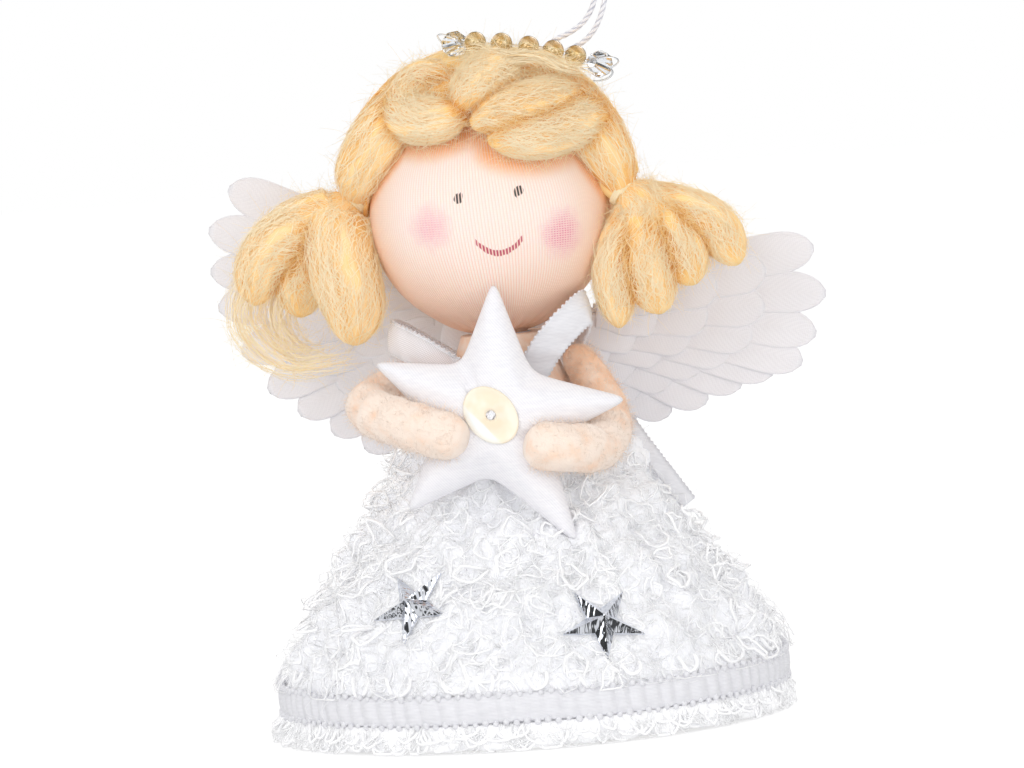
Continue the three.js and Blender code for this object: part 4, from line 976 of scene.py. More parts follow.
def makeHead(knit, wadding, fringes, caps):
    turn = np.arange(0, 360, 2.0)
    climb = np.linspace(head["mouth"], 89.6, 116)[:, None]
    egg = onEgg(head["half"], turn, climb)
    folds = np.cos(np.radians(26 * turn)) * 0.35 + np.cos(np.radians(11 * turn)) * 0.2
    gather = ease(-climb, 48, 74) * folds
    egg = egg * (1 + gather / head["half"][0])[..., None] + head["centre"]
    a = np.radians(turn)
    neck = [np.stack([r * np.sin(a), -r * np.cos(a), z + 0 * a], -1) for r, z in head["neck"]]
    grid = np.concatenate([np.array(neck) + [head["centre"][0], 0, 0], egg])
    # tone: painted shade, with a painted reflection of the wool's colour, on the knit near the fringe and the
    # cap locks
    near = np.minimum(unshadedShare(grid, fringes, 6.0), unshadedShare(grid, caps, 3.5))
    piece = addPiece("headKnit", [skinOver(grid, near)], knit, "knit", "head_cover")
    core = onEgg(np.array(head["half"]) - head["knitDeep"], np.arange(0, 360, 9.0),
                 np.linspace(-80, 89, 22)[:, None])
    addPiece("headWadding", [skinOver(core + head["centre"])], wadding, "filling", "head_filling")


face = {
    "wales": 232.0, "lean": 7.0, "courses": 150.0,
    "eyes": [(-4.8, 98.15), (6.2, 98.65)],
    "cheeks": [((-10.5, -19.1, 93.1), 5.2, 0.35), ((13.2, -15.6, 90.2), 5.6, 0.7)],
    "mouth": (2.0, 4.15, -6.2, 2.3),  # middle, half width, lowest point and rise of the ends, from the centre
}


def knitFinish():
    # wales are ridges round the head, courses cross them; face and blush colour only the ridges
    place = newFinish("peach knit")
    x, y, z = axes(place)
    along, around = mapOf(place)
    wale = size(sine((around * face["wales"] + along * face["lean"]) * np.pi))
    course = sine((along * face["courses"] + wale * 0.35) * fullTurn) * 0.5 + 0.5
    ridge = rise(wale, 0.2, 0.8)
    tone = toneOf(place)
    # painted shade: the skin warmer and darker towards the chin and the sides of the face; where the wool is
    # near (tone), orange as painted shade and painted reflection of the wool
    skin = shade(rise(z - size(x + 1.3) * 0.5, 64.0, 88.0), tint(255, 214, 184), tint(255, 239, 230))
    skin = shade(rise(size(x + 1.3), 13.0, 23.0) * 0.6, skin, tint(253, 200, 158))
    skin = shade(rise(tone, 0.0, 0.9), tint(250, 178, 112), skin)
    # painted shade: the valleys between the wales darker, more so low on the face
    valleyShade = shade(rise(z, 74.0, 96.0), tint(246, 186, 156), tint(251, 219, 205))
    skin = shade(ridge * 0.7 + course * 0.12 + 0.18, valleyShade, skin)
    front = rise(0 - y, 2.0, 6.0)
    dots = rise(wale * 0.6 + course * 0.5 + noise(place, 2.2, 1.0) * 0.4, 0.75, 1.15)
    for centre, reach, strong in face["cheeks"]:
        away = place.node("VectorMath", {"operation": "DISTANCE"}, {0: place, 1: centre}, out=1)
        away = away + (noise(place, 0.45, 2.0) - 0.5) * 3.0
        blush = 1 - rise(away, reach * 0.15, reach * 1.05)
        skin = shade(blush * 0.42, skin, tint(250, 184, 198))
        skin = shade(blush * dots * strong, skin, tint(222, 96, 138))
    middle, half, low, lift = face["mouth"]
    across = (x - middle) / half
    curve = z - (head["centre"][2] + low) - across * across * lift + (noise(place, 1.1, 1.0) - 0.5) * 0.5
    smile = (1 - rise(size(curve), 0.42, 0.66)) * (1 - rise(size(across), 0.97, 1.06))
    smile = smile * rise(wale, 0.45, 0.7) * front
    skin = shade(smile * 0.92, skin, tint(186, 40, 78))
    for eyeX, eyeZ in face["eyes"]:
        dz = z - eyeZ + (noise(stretch(place, 1.0, 1.0, 0.15), 1.4, 1.0) - 0.5) * 1.5
        dx = (x - eyeX) - dz * 0.2
        inside = (dx / 0.86) * (dx / 0.86) + (dz / 1.0) * (dz / 1.0)
        eye = (1 - rise(inside, 0.75, 1.15)) * rise(wale, 0.42, 0.68) * front
        skin = shade(eye * 0.95, skin, tint(38, 30, 28))
    sockets = {"Roughness": 0.85, "Sheen Weight": 0.15, "Subsurface Weight": 0.1, "Subsurface Scale": 0.002}
    return coat(place, skin, sockets, ridge * 0.8 + course * 0.2, 0.06)


woolGold = woolFinish("pale gold wool", tint(221, 150, 62), tint(249, 210, 143), tint(253, 238, 206))


def makeHair():
    dice = np.random.default_rng(hair["seed"])
    fringes, caps = fringeLocks(), capLocks()
    makeHead(knitFinish(), wadding, fringes, caps)

    # ground of the cap under its locks, from the hairline to the crown and back inside
    turn = np.arange(0, 360, 3.75)
    share = np.linspace(0, 1, 16)[:, None]
    climb = mix(hairline(turn), 88.0, share)
    under = onEgg(np.array(head["half"]) + 0.4, turn, climb) + head["centre"]
    over = onEgg(np.array(hair["half"]) - 2.4, turn, climb) + hair["centre"]
    over[:2] = onEgg(np.array(head["half"]) + 1.2, turn, climb[:2]) + head["centre"]
    ground = np.concatenate([under[::-1], over])
    parts = [skinOver(ground, 0.2)]
    each = 1 + len(capLook["partings"])
    for k, lock in enumerate(caps):
        near = [caps[j] for j in (k - 1, k + 1) if 0 <= j < len(caps) and j // each == k // each]
        roll = k % each == 0
        near = near + (fringes if roll else [])
        parts.append(lockBody(lock, near, dice, 44 if roll else 30, 0.25, 0.15))
        count = capLook["rollFibres" if roll else "fibres"]
        parts.append(lockFibres(lock, near, count, dice, twist=0.3, root=0.15))
        parts.append(lockFuzz(lock, capLook["rollFuzz" if roll else "fuzz"], dice))
    # loose wool drawn up in front of the beads
    rows, reach, count = wispLook["rows"], wispLook["reach"], wispLook["fibres"]
    a = np.radians(np.linspace(*wispLook["azimuths"], rows))
    front = np.stack([reach * np.sin(a), -reach * np.cos(a), wispLook["drop"] + 0.5 * np.sin(9 * a)], -1)
    half = np.full(rows, wispLook["half"])
    wisp = {"path": haloPlace(front), "wide": half, "deep": half, "lead": np.tile([0, 0, 1.0], (rows, 1))}
    parts += [lockFibres(wisp, [], count, dice, twist=1.0, stray=0.4), lockFuzz(wisp, count, dice)]
    addPiece("hairCap", parts, woolGold, "wool", "hair_cap")

    for k, lock in enumerate(fringes):
        others = fringes[:k] + fringes[k + 1:] + [caps[0], caps[each]]
        parts = [lockBody(lock, others, dice, 48, 1.1)]
        parts.append(lockFibres(lock, others, fringeLook["fibres"], dice, twist=1.2))
        parts.append(lockFuzz(lock, fringeLook["fuzz"], dice))
        addPiece(f"fringeLock{k + 1}", parts, woolGold, "wool", f"fringe_lock_{k + 1}")
    print("hair: cap and fringe")


tails = {
    "left": [  # half size of each lock and its way from the root
        (6.6, [(0.5, -4, -9), (2, -5, -17), (1.6, -4.5, -24)]),
        (5.6, [(-7.5, 0, -2), (-15, 0, -8), (-17.5, 1, -15.5)]),
        (5.6, [(-8, 2, -11), (-9, 2, -18.5)]),
        (3.2, [(-16, 0, -10), (-19.5, 0, -18.5), (-12, -1.5, -26.5), (2, -3, -26)]),
        (3.2, [(-10, 2, -10), (-13, 2, -18.5), (-9.5, 1, -24.5), (-4, 0, -26)]),
    ],
    "right": [
        (4.2, [(-5, -1.5, -10), (-5.2, -1, -22.3)]),
        (5.2, [(0.8, -1, -10.5), (2.6, 0, -20.3)]),
        (5.2, [(6, 1, -7), (9.1, 2, -15.5)]),
        (4.8, [(6.4, 2, -1.8), (13, 3.5, -5), (17.3, 4, -12.5)]),
    ],
    "back": 3.6,  # the locks start this far back, in the tie
    "thin": 3.3, "wisps": 170, "wispSize": 0.045,  # locks under this half size are open fibres
    "fibres": 800, "fuzz": 400, "seed": 41,
}


def makeTails(thread):
    dice = np.random.default_rng(tails["seed"])
    for side in ("left", "right"):
        root = np.array(tieLook[side]["root"])
        middle, out = tieOf(side)
        locks = []
        for radius, way in tails[side]:
            full = lambda u: np.minimum(radius, 2.3 + 22 * u) * np.sqrt(1.012 - u ** 5)
            points = np.vstack([-tails["back"] * out, [0, 0, 0], way]) + root
            locks.append(lockOf(points, full, (0.1, -1, 0.15)))
        parts = []
        for lock in locks:
            if lock["wide"].max() < tails["thin"]:  # loose strands, light all along
                core = {**lock, "wide": 0.5 * lock["wide"], "deep": 0.5 * lock["deep"]}
                for strand, stray in ((core, 0.5), (lock, 0.8)):
                    parts.append(lockFibres(strand, [], tails["wisps"], dice, tails["wispSize"], stray=stray))
            else:
                others = [one for one in locks if one is not lock and one["wide"].max() > tails["thin"]]
                parts.append(lockBody(lock, others, dice, root=0.2))
                parts.append(lockFibres(lock, others, tails["fibres"], dice, stray=0.2, root=0.2))
            parts.append(lockFuzz(lock, tails["fuzz"], dice))
        name = f"{side}_pigtail"
        addPiece(f"{side}Pigtail", parts, woolGold, "wool", name, body=name)

        # thread wound round the drawn wool: a helix of a few turns
        turns = tieLook["turns"]
        a = np.linspace(0, turns * fullTurn, 100)[:, None]
        across = unit(np.cross(out, [0, 0, 1]))
        wind = tieLook["wound"] * (np.cos(a) * across + np.sin(a) * np.cross(out, across))
        wind = wind + (a / fullTurn - turns / 2) * tieLook["pitch"] * out
        parts = [roundTube(middle + out + wind, tieLook["thread"], out, 8, 0.9)]
        stub = np.linspace(*tieLook["stubEnds"], 6)[:, None] * out + middle
        parts.append(roundTube(stub, tieLook["stub"], across, 24, 0.4))
        addPiece(f"{side}HairTie", parts, thread, "wool", f"{side}_hair_tie")
    print("pigtails: done")


makeHair()
tieWool = woolFinish("pale tie wool", tint(236, 186, 104), tint(252, 226, 160), tint(255, 244, 212))
makeTails(tieWool)


# Halo of beads on clear thread

def strung(profile, azimuth, columns):
    # a profile of radius and length turned about the thread where it passes an azimuth
    radius, length = np.array(profile, float).T
    a = turnsOf(columns)
    t = np.radians(azimuth)
    along = np.array([np.cos(t), np.sin(t), 0])
    out = np.array([np.sin(t), -np.cos(t), 0])
    ring = np.cos(a)[..., None] * out + np.sin(a)[..., None] * np.cross(along, out)
    grid = radius[:, None, None] * ring + length[:, None, None] * along + halo["radius"] * out
    return haloPlace(grid)


def goldFinish():
    place = newFinish("gold lustre glass")
    patch = noise(place, 0.7, 2.0)
    colour = shade(rise(patch, 0.3, 0.7), tint(242, 206, 132), tint(255, 240, 198))
    sockets = {"Roughness": 0.05 + 0.06 * patch, "Metallic": 0.12, "Coat Weight": 1.0,
               "Transmission Weight": 0.7, "IOR": 1.45}
    return coat(place, colour, sockets)


def clearFinish(name, colour, rough):
    place = newFinish(name)
    haze = noise(place, 1.5, 2.0)
    sockets = {"Roughness": rough + 0.04 * haze, "Transmission Weight": 1.0, "IOR": 1.52}
    return coat(place, shade(haze, colour, tint(252, 253, 255)), sockets)


def makeHalo():
    gold = goldFinish()
    glass = clearFinish("clear cut glass", tint(226, 232, 240), 0.01)
    thread = clearFinish("clear thread", tint(236, 240, 244), 0.05)
    t = np.linspace(0, fullTurn, 121)[:-1]
    ring = np.stack([halo["radius"] * np.sin(t), -halo["radius"] * np.cos(t), 0.25 * np.sin(5 * t)], -1)
    parts = [skinOver(haloPlace(hoopTube(ring, halo["thread"], (0, 0, 1), 8)), hoop=True)]
    for azimuth in halo["crystals"]:  # the thread goes back round each end stone
        a = np.radians(azimuth)
        along = np.array([np.cos(a), np.sin(a), 0])
        out = np.array([np.sin(a), -np.cos(a), 0.35])
        loop = halo["loop"] * (np.cos(t)[:, None] * along + np.sin(t)[:, None] * out)
        loop = halo["radius"] * out * [1, 1, 0] + loop
        parts.append(skinOver(haloPlace(hoopTube(loop, halo["loopThread"], (0, 0, 1), 6)), hoop=True))
    addPiece("haloThread", parts, thread, "filament", "halo_filament")

    lift = np.linspace(-0.94, 0.94, 15)
    ball = [(halo["bead"] * np.sqrt(1 - s * s), halo["bead"] * s) for s in lift]
    profile = ball + [(halo["bore"], halo["boreHalf"]), (halo["bore"], -halo["boreHalf"])]
    for k, azimuth in enumerate(halo["beads"]):
        bead = skinOver(strung(profile, azimuth, 28), hoop=True)
        addPiece(f"haloBead{k + 1}", [bead], gold, "gold_bead", f"halo_bead_{k + 1}")
    for name, azimuth in zip(("left", "right"), halo["crystals"]):
        stone = skinOver(strung(halo["cut"], azimuth, 8), hoop=True)
        addPiece(f"{name}HaloCrystal", [stone], glass, "crystal", f"{name}_halo_crystal", smooth=False)
    print("halo: thread, beads, stones")


makeHalo()


# Feather wings

wings = {
    "root": (-2.2, 15.0, 69.0), "tilt": 10.0, "reach": 58.8, "sweep": 6.0, "span": 30.0, "halfWidth": 4.0,
    "tips": [(0.947, 0.398), (1, 0.257), (0.982, 0.124), (0.947, 0.021), (0.858, -0.057), (0.761, -0.131),
             (0.655, -0.195), (0.54, -0.248), (0.425, -0.292)],
    "drop": {-1: 6.5, 1: -3.8},  # how much lower the short feathers of each wing reach
    "rootLine": ((20.0, 11.0), (7.0, -3.0)), "pad": (6.0, 1.9, 8.0), "padAt": 6.15,
    "rows": [  # reach of each row, where its feathers stand among the long ones, step forward, width
        (1.0, (0, 1, 2, 3, 4, 5, 6, 7, 8), 0.0, 1.0),
        (0.74, (0.4, 1.5, 2.6, 3.7, 4.8, 5.9, 7.0), 0.95, 1.05),
        (0.5, (0.7, 2.0, 3.3, 4.6, 5.9, 7.1), 1.8, 1.05),
        (0.28, (0.6, 2.2, 3.8, 5.4), 2.4, 1.0),
    ],
}


def feather(side, place, reach, forward, width):
    # a thin lens of rounded outline carried from root to tip: half width grows, then closes as a blunt point;
    # a low shaft runs down the middle and the edges are rolled a little thicker
    tips = np.array(wings["tips"]) * wings["reach"]
    tips[:, 1] -= wings["drop"][side] * ease(np.arange(len(tips)), 2.5, 5)
    near, low = np.array(wings["rootLine"])
    tip = sample(tips, np.array(place / (len(tips) - 1)))
    root = mix(near, low, place / (len(tips) - 1))
    u = np.linspace(0, 1, 34)
    along = u * reach
    x = mix(root[0], tip[0], along)
    z = mix(root[1], tip[1], along) + 1.2 * np.sin(np.pi * along)
    y = wings["sweep"] * ease(x, 0, wings["span"]) - forward + 0.22 * place
    y = y + 0.9 * ease(u, 0.7, 1.0) * reach
    path = np.stack([side * x, y, z], -1)
    end = (1 - np.clip((u - 0.8) / 0.203, 0, 1) ** 2.4) ** 0.58
    half = wings["halfWidth"] * width * (0.62 + 0.38 * ease(u, 0.0, 0.5)) * end
    a = turnsOf(32)
    rim = 0.55 + 0.45 * np.exp(-((np.abs(np.cos(a)) - 0.93) / 0.05) ** 2)
    belly = np.abs(np.sin(a)) ** 0.5 * np.sign(np.sin(a)) * rim
    shaft = 0.16 * np.exp(-(np.cos(a) / 0.09) ** 2) * np.sign(np.sin(a))
    deep = (0.6 * (0.35 + 0.65 * end))[:, None] * belly + (1 - 0.8 * u)[:, None] * shaft * end[:, None]
    _, across, up = pathFrame(path, np.array([0, -1, 0]))
    grid = path[:, None] + (half[:, None] * np.cos(a))[..., None] * across[:, None]
    grid = grid + deep[..., None] * up[:, None]
    # painted shade: darker towards the root of each feather, paler towards its edges
    tone = mix(0.35, 1.0, ease(u, 0.1, 0.9))[:, None] * (0.85 + 0.15 * np.abs(np.cos(a)))
    return grid, tone


def featherFinish():
    # pressed cloth feathers: a very fine twill over the whole face and soft barb lines off the shaft
    place = newFinish("white feather")
    along, around = mapOf(place)
    x, _, z = axes(place)
    lean = size(size(around - 0.5) - 0.25) * 4  # 0 at the shaft, 1 at the edges
    barb = sine((along * 30 - lean * 6) * fullTurn) * 0.5 + 0.5
    twill = sine((x * 0.8 - z * 0.6) * (fullTurn / 0.55)) * sine((x * 0.6 + z * 0.8) * (fullTurn / 0.55))
    patch = noise(place, 0.25, 3.0)
    light = rise(toneOf(place) + patch * 0.4 - 0.2, 0.2, 0.95)
    colour = shade(light, tint(226, 220, 220), tint(243, 241, 244))
    colour = shade(barb * 0.1 + twill * 0.06 + 0.84, tint(214, 211, 217), colour)
    return coat(place, colour, {"Roughness": 0.6, "Sheen Weight": 0.12}, barb * 0.5 + twill * 0.5, 0.025)


def makeWings():
    finish = featherFinish()
    seat = lambda p: turnAbout(p, "y", wings["tilt"]) + wings["root"]
    wide, deep, high = wings["pad"]
    lift = np.radians(np.linspace(-84, 84, 16))[:, None]
    flat = np.cos(lift)
    pad = ovalRing(wide * flat, deep * flat, turnsOf(28), high * np.sin(lift))
    for name, side in (("left", -1), ("right", 1)):
        every = [feather(side, place, reach, forward, width)
                 for reach, places, forward, width in wings["rows"] for place in places]
        grids, tones = (np.array(values) for values in zip(*every))
        parts = [skinOver(seat(grids), tones), skinOver(seat(pad + [side * wings["padAt"], 0, 0]), 0.7)]
        addPiece(f"{name}Wing", parts, finish, "feather", f"{name}_wing")
    print("wings: done")


makeWings()


# Torso, bodice and straps

torso = {
    "heights": (52.3, 66, 69, 72), "wide": (15, 9.6, 9.65, 8.5), "deep": (10.2, 9, 9.35, 8.5), "seed": 77,
    "thread": 0.42, "threadRing": 5.4, "threadAt": 70.9, "threadRise": 0.9,
    "band": (52.4, 61.1),  # heights of the bodice
    "pad": (5.5, 3.0, 5.1), "padAt": (0, 11.2, 66.5),
}


def torsoRing(z, turn, proud):
    wide, deep = (np.interp(z, torso["heights"], torso[key]) + proud for key in ("wide", "deep"))
    return ovalRing(wide, deep, turn, z)


def makeTorso(felt, satin, thread):
    dice = np.random.default_rng(torso["seed"])
    turn = turnsOf(72)
    foot, waist, _, top = torso["heights"]
    z = np.concatenate([np.linspace(foot, waist, 10), np.linspace(67, 71.6, 8), [top]])[:, None]
    grid = torsoRing(z, turn, 0.0)
    grid[..., :2] *= (1 + 0.012 * ripple(grid, (7, 5), dice))[..., None]
    piece = addPiece("torsoFelt", [skinOver(grid, 0.6)], felt, "felt", "torso")
    a = np.linspace(0, 2 * fullTurn, 160)
    ring = torso["threadRing"]
    height = torso["threadAt"] + torso["threadRise"] * a / a[-1]
    wound = ovalRing(ring, ring, a, height) + [head["centre"][0], 0, 0]
    skin = roundTube(wound, torso["thread"], (0, 0, 1), 8, 0.8)
    addPiece("neckThread", [skin], thread, "cord", "neck_thread")

    # bodice: a gathered band, its folds deepest at the lower edge
    turn = turnsOf(400)
    share = np.linspace(0, 1, 10)[:, None]
    fold = np.abs(np.sin(23 * turn + 0.8 * np.sin(4 * turn) + 0.6 * share))
    proud = 0.75 + 0.5 * fold * (1 - 0.5 * share) + 0.2 * np.sin(np.pi * share)
    z = mix(*torso["band"], share)
    outer = torsoRing(z, turn, proud)
    inner = torsoRing(z[::-1], turn, 0.3)
    tone = np.concatenate([0.4 + 0.6 * fold, 0.4 + 0 * proud])
    band = skinOver(np.concatenate([outer, inner]), tone, hoop=True)
    addPiece("bodiceBand", [band], satin, "satin", "bodice_band")

    # pad that carries the wings: a rounded cushion between back and wing root
    a = turnsOf(36)
    lift = np.radians(np.linspace(-80, 80, 15))[:, None]
    power = lambda v, p: np.sign(v) * np.abs(v) ** p
    wide, deep, high = torso["pad"]
    pad = np.stack([wide * power(np.cos(lift), 0.6) * power(np.cos(a), 0.6),
                    deep * power(np.cos(lift), 0.6) * power(np.sin(a), 0.6),
                    high * power(np.sin(lift), 0.7) + 0 * a], -1) + torso["padAt"]
    bridge = addPiece("wingPad", [skinOver(pad, 0.6)], felt, "felt", "wing_bridge")
    print("torso: done")


straps = {
    "width": 6.0, "chest": 11.6, "across": 12.0, "foot": 64.1, "throat": 72.0,
    "left": [(-0.5, -1.04, 0), (-1.17, -1.09, 0.72), (-1.71, -0.6, 1.11), (-1.58, 0.26, 0.94),
             (-0.83, 1, 0)],
    "right": [(0.38, -1.04, 0), (0.79, -1.13, 0.83), (1.29, -0.82, 1.51), (1.25, -0.17, 1.28),
              (1, 0.43, 0.72), (0.75, 1, 0)],
    "tail": [(17.2, 2.0, 60.0), (20.1, 1.5, 55.0), (24.67, 1.0, 47.8), (27.89, 1.0, 42.9),
             (31.12, 1.0, 38.0)],
    "tailWidth": 3.0, "knobStep": 0.95, "knob": 0.36, "tailKnob": 0.34,
}


def ribbonStrip(path, width, lead, thick, wave, edge):
    # a flat strip: across the path it bows by wave, and its edges carry a row of picot bumps
    _, side, up = pathFrame(path, lead)
    run = np.linspace(0, pathLength(path), len(path))[:, None]
    across = np.array([-1, -0.97, -0.86, -0.5, 0, 0.5, 0.86, 0.97, 1])
    across = np.concatenate([across, across[::-1]])
    face = np.repeat([1.0, -1.0], 9)
    trim = np.abs(across) > 0.9
    bump = 1 + edge * trim * np.abs(np.sin(np.pi * run / 0.9))
    thickness = thick * np.where(trim, 1.7, 1.0) * np.where(np.abs(across) == 1, 0.55, 1.0) * bump
    bow = wave * (1 - across ** 2) + 0.12 * np.sin(1.3 * run + 2 * across)
    grid = path[:, None] + (0.5 * width * across * (1 + 0.03 * trim * (bump - 1)))[..., None] * side[:, None]
    grid = grid + (bow + 0.5 * thickness * face)[..., None] * up[:, None]
    return grid[:, ::-1], np.broadcast_to(np.where(trim, 1.0, 0.45), grid.shape[:2])[:, ::-1]


def edgeKnobs(path, width, lead, radius):  # small round loops of thread along both edges of a strip
    _, side, _ = pathFrame(path, lead)
    count = int(pathLength(path) / straps["knobStep"])
    s = (np.arange(count) + 0.5) / count
    knob = radius * knobShape(64)
    middle = np.concatenate([sample(path, s) + k * 0.5 * width * sample(side, s) for k in (-1, 1)])
    return skinOver(middle[:, None, None] + knob[None], 1.0)


def laceFinish():
    # sheer ground with a closer edge: a fine net whose holes let the light through
    place = newFinish("white sheer ribbon")
    along, around = mapOf(place)
    net = size(sine(along * 520)) * 0.5 + size(sine(around * 240)) * 0.5
    solid = rise(toneOf(place), 0.6, 0.9)
    cover = solid + (1 - solid) * (0.34 + 0.3 * net)
    colour = shade(net, tint(244, 242, 248), tint(253, 253, 255))
    # painted glow lifts the shade of the net
    return coat(place, colour, {"Roughness": 0.5, "Alpha": cover, **paintedGlow(colour, 0.08)}, net, 0.06)


def makeStraps(satin):
    lace = laceFinish()
    for name in ("left", "right"):
        way = np.array(straps[name], float)
        points = np.stack([way[:, 0] * straps["across"], way[:, 1] * straps["chest"],
                           mix(straps["foot"], straps["throat"], way[:, 2])], -1)
        path = smoothPath(points, 110)
        lead = unit(path * [1, 1, 0] + 0.4 * (path - [0, 0, 66]) * [0, 0, 1])
        grid, tone = ribbonStrip(path, straps["width"], lead, 0.3, 0.5, 0.8)
        parts = [skinOver(grid, tone), edgeKnobs(path, straps["width"], lead, straps["knob"])]
        finish, slot = (lace, "lace") if name == "left" else (satin, "satin")
        addPiece(f"{name}Strap", parts, finish, slot, f"{name}_strap")
    path = smoothPath(straps["tail"], 90)
    lead = np.broadcast_to([0.3, -1, 0.2], path.shape)
    grid, tone = ribbonStrip(path, straps["tailWidth"], lead, 0.4, 0.4, 1.2)
    parts = [skinOver(grid, tone), edgeKnobs(path, straps["tailWidth"], lead, straps["tailKnob"])]
    addPiece("ribbonTail", parts, satin, "satin", "ribbon_tail")
    print("straps: done")


makeSkirt(groundFinish(), pileWhite, wadding)
feltPeach = feltFinish("peach felt", tint(253, 206, 168), tint(255, 238, 224))
makeTorso(feltPeach, satinWhite, cordWhite)
makeStraps(ribbonSatin)


# Padded star with its sequin

star = {
    "centre": (-1.2, -22.236, 58.4), "lean": -6.2, "reach": 24.4, "notch": 11.8, "halfDepth": 4.4,
    "tips": [(3, 1), (86.5, 1), (152, 0.985), (224, 0.967), (300, 1.13)],
    "sequin": (5.8, 4.4, 0.9, -52.0),
    "sequinRadius": (0.0, 0.12, 0.5, 0.92, 1.0, 1.0, 0.92, 0.5, 0.12, 0.0),  # its profile from the hole out
    "sequinFront": (0.16, 0.2, 0.24, 0.3, 0.24, 0.08, 0.0, -0.06, -0.1, -0.1),
    "stitches": (-0.3, 0.05, 0.4), "stitch": 0.2,
    "simScale": 20.0, "simSteps": 20, "cap": 1.6,  # the puffed cloth moves no further than the cap
    "cloth": {
        "quality": 6, "mass": 0.3, "tension_stiffness": 15, "compression_stiffness": 15, "shear_stiffness": 6,
        "bending_stiffness": 0.6, "use_pressure": True, "uniform_pressure_force": 3.0, "shrink_min": -0.03,
    },
}


def starPlace(points):
    return turnAbout(points, "x", star["lean"]) + star["centre"]


def starOutline(columns):  # rounded five-point outline in the star's own plane, as points (columns, 2)
    tips = np.array(star["tips"])
    angle, reach = tips[:, 0], tips[:, 1] * star["reach"]
    gap = (np.roll(angle, -1) - angle) % 360
    polar = lambda a, r: np.stack([r * np.cos(np.radians(a)), r * np.sin(np.radians(a))], -1)
    notch = polar(angle + gap / 2, np.full(5, star["notch"]))
    corner = np.stack([polar(angle, reach), notch], 1).reshape(-1, 2)
    t = np.linspace(0, 1, 40, endpoint=False)[None, :, None]
    line = mix(corner[:, None], np.roll(corner, -1, axis=0)[:, None], t).reshape(-1, 2)
    for _ in range(26):  # soften the corners
        line = 0.5 * line + 0.25 * (np.roll(line, 1, axis=0) + np.roll(line, -1, axis=0))
    line = line * 1.012
    return line[np.linspace(0, len(line), columns, endpoint=False).astype(int)]


def puffStar(grid):
    # cloth under pressure: the closed cover is blown up a little at a larger scale, then measured back
    scale = star["simScale"] * mm
    bag = putPiece("starBag", [skinOver(grid / mm * scale)], satinWhite)
    cloth = bag.modifiers.new("puff", "CLOTH")
    for key, value in star["cloth"].items():
        setattr(cloth.settings, key, value)
    cloth.settings.effector_weights.gravity = 0
    for step in range(1, star["simSteps"] + 1):
        bpy.context.scene.frame_set(step)
    blown = bag.evaluated_get(bpy.context.evaluated_depsgraph_get()).to_mesh()
    points = np.zeros(len(blown.vertices) * 3)
    blown.vertices.foreach_get("co", points)
    bpy.data.objects.remove(bag)
    bpy.context.scene.frame_set(1)
    moved = points.reshape(grid.shape) / scale - grid
    far = np.linalg.norm(moved, axis=-1, keepdims=True)
    return grid + moved * np.minimum(1, star["cap"] / np.maximum(far, 1e-9))


def makeStar(satin, wadding, thread):
    columns = 200
    outline = starOutline(columns)
    share = np.concatenate([np.linspace(0.03, 0.9, 16), [0.95, 0.985]])
    swell = 0.8 * star["halfDepth"] * np.sqrt(np.clip(1 - share ** 2, 0, 1))
    spread = np.concatenate([share, [1.0], share[::-1]])
    depth = np.concatenate([swell, [0.0], -swell[::-1]])
    leaf = lambda wide, deep: np.stack([wide * spread[:, None] * outline[:, 0],
                                        -deep * depth[:, None] + 0 * outline[:, 0],
                                        wide * spread[:, None] * outline[:, 1]], -1)[::-1]
    grid = leaf(1.0, 1.0)
    grid = puffStar(grid)
    # the seam: the rim drawn in and small puckers running off it
    rim = ease(spread[::-1], 0.86, 1.0)[:, None]
    run = np.arange(columns) / columns
    pucker = np.sin(fullTurn * 55 * run) * 0.5 + np.sin(fullTurn * 23 * run + 1) * 0.5
    grid[..., 1] += 0.16 * pucker * rim * (1 - rim) * 4 * np.sign(grid[..., 1])
    cover = skinOver(starPlace(grid), 0.6)
    piece = addPiece("starCover", [cover], satin, "satin", "star_front_panel", "star_back_panel")
    core = leaf(0.86, 0.75)[:, ::2]
    addPiece("starWadding", [skinOver(starPlace(core))], wadding, "filling", "star_filling")

    # sequin: an oval disc, dished a little, with a hole
    long, wide, hole, turn = star["sequin"]
    a = turnsOf(64)
    radius, front = (np.array(star[key])[:, None] for key in ("sequinRadius", "sequinFront"))
    x, z = mix(hole, long, radius) * np.cos(a), mix(hole, wide, radius) * np.sin(a)
    disc = np.stack([x, -(star["halfDepth"] + 0.55 + front * 1.6) + 0 * a, z], -1)
    disc = skinOver(starPlace(turnAbout(disc, "y", -turn)), radius + 0 * a, hoop=True)
    addPiece("starSequin", [disc], sequinFinish(), "sequin", "star_sequin")
    t = np.linspace(0, np.pi, 14)
    stitch = np.stack([0 * t, -(star["halfDepth"] + 0.3) - 0.5 * np.sin(t), 0.75 * np.cos(t)], -1)
    thick = star["stitch"]
    stitches = [turnAbout(stitch + [k, 0, 0], "y", 35) for k in star["stitches"]]
    parts = [skinOver(starPlace(tubeGrid(one, thick, thick, (0.8, 0, 0.6), 8)), 0.8) for one in stitches]
    addPiece("sequinStitch", parts, thread, "cord", "sequin_stitch")
    print("star: done")


def sequinFinish():
    place = newFinish("pearl sequin")
    x, _, z = axes(place)
    # the way towards the lower left, where the painted highlight lies
    side = (x - star["centre"][0]) * -0.75 + (z - star["centre"][2]) * -0.66
    drift = noise(place, 0.35, 1.5)
    edge = rise(toneOf(place), 0.6, 0.95)
    colour = shade(rise(drift, 0.35, 0.65), tint(250, 240, 222), tint(246, 231, 204))
    # painted highlight: a white-blue patch towards the lower left
    colour = shade(rise(side + drift, 2.1, 2.6), colour, tint(240, 248, 252))
    colour = shade(edge * 0.6, colour, tint(253, 243, 222))
    return coat(place, colour, {"Roughness": 0.22 + 0.06 * drift, "Coat Weight": 0.4, "Coat Roughness": 0.08})


makeStar(satinWhite, wadding, cordWhite)


# Felt arms

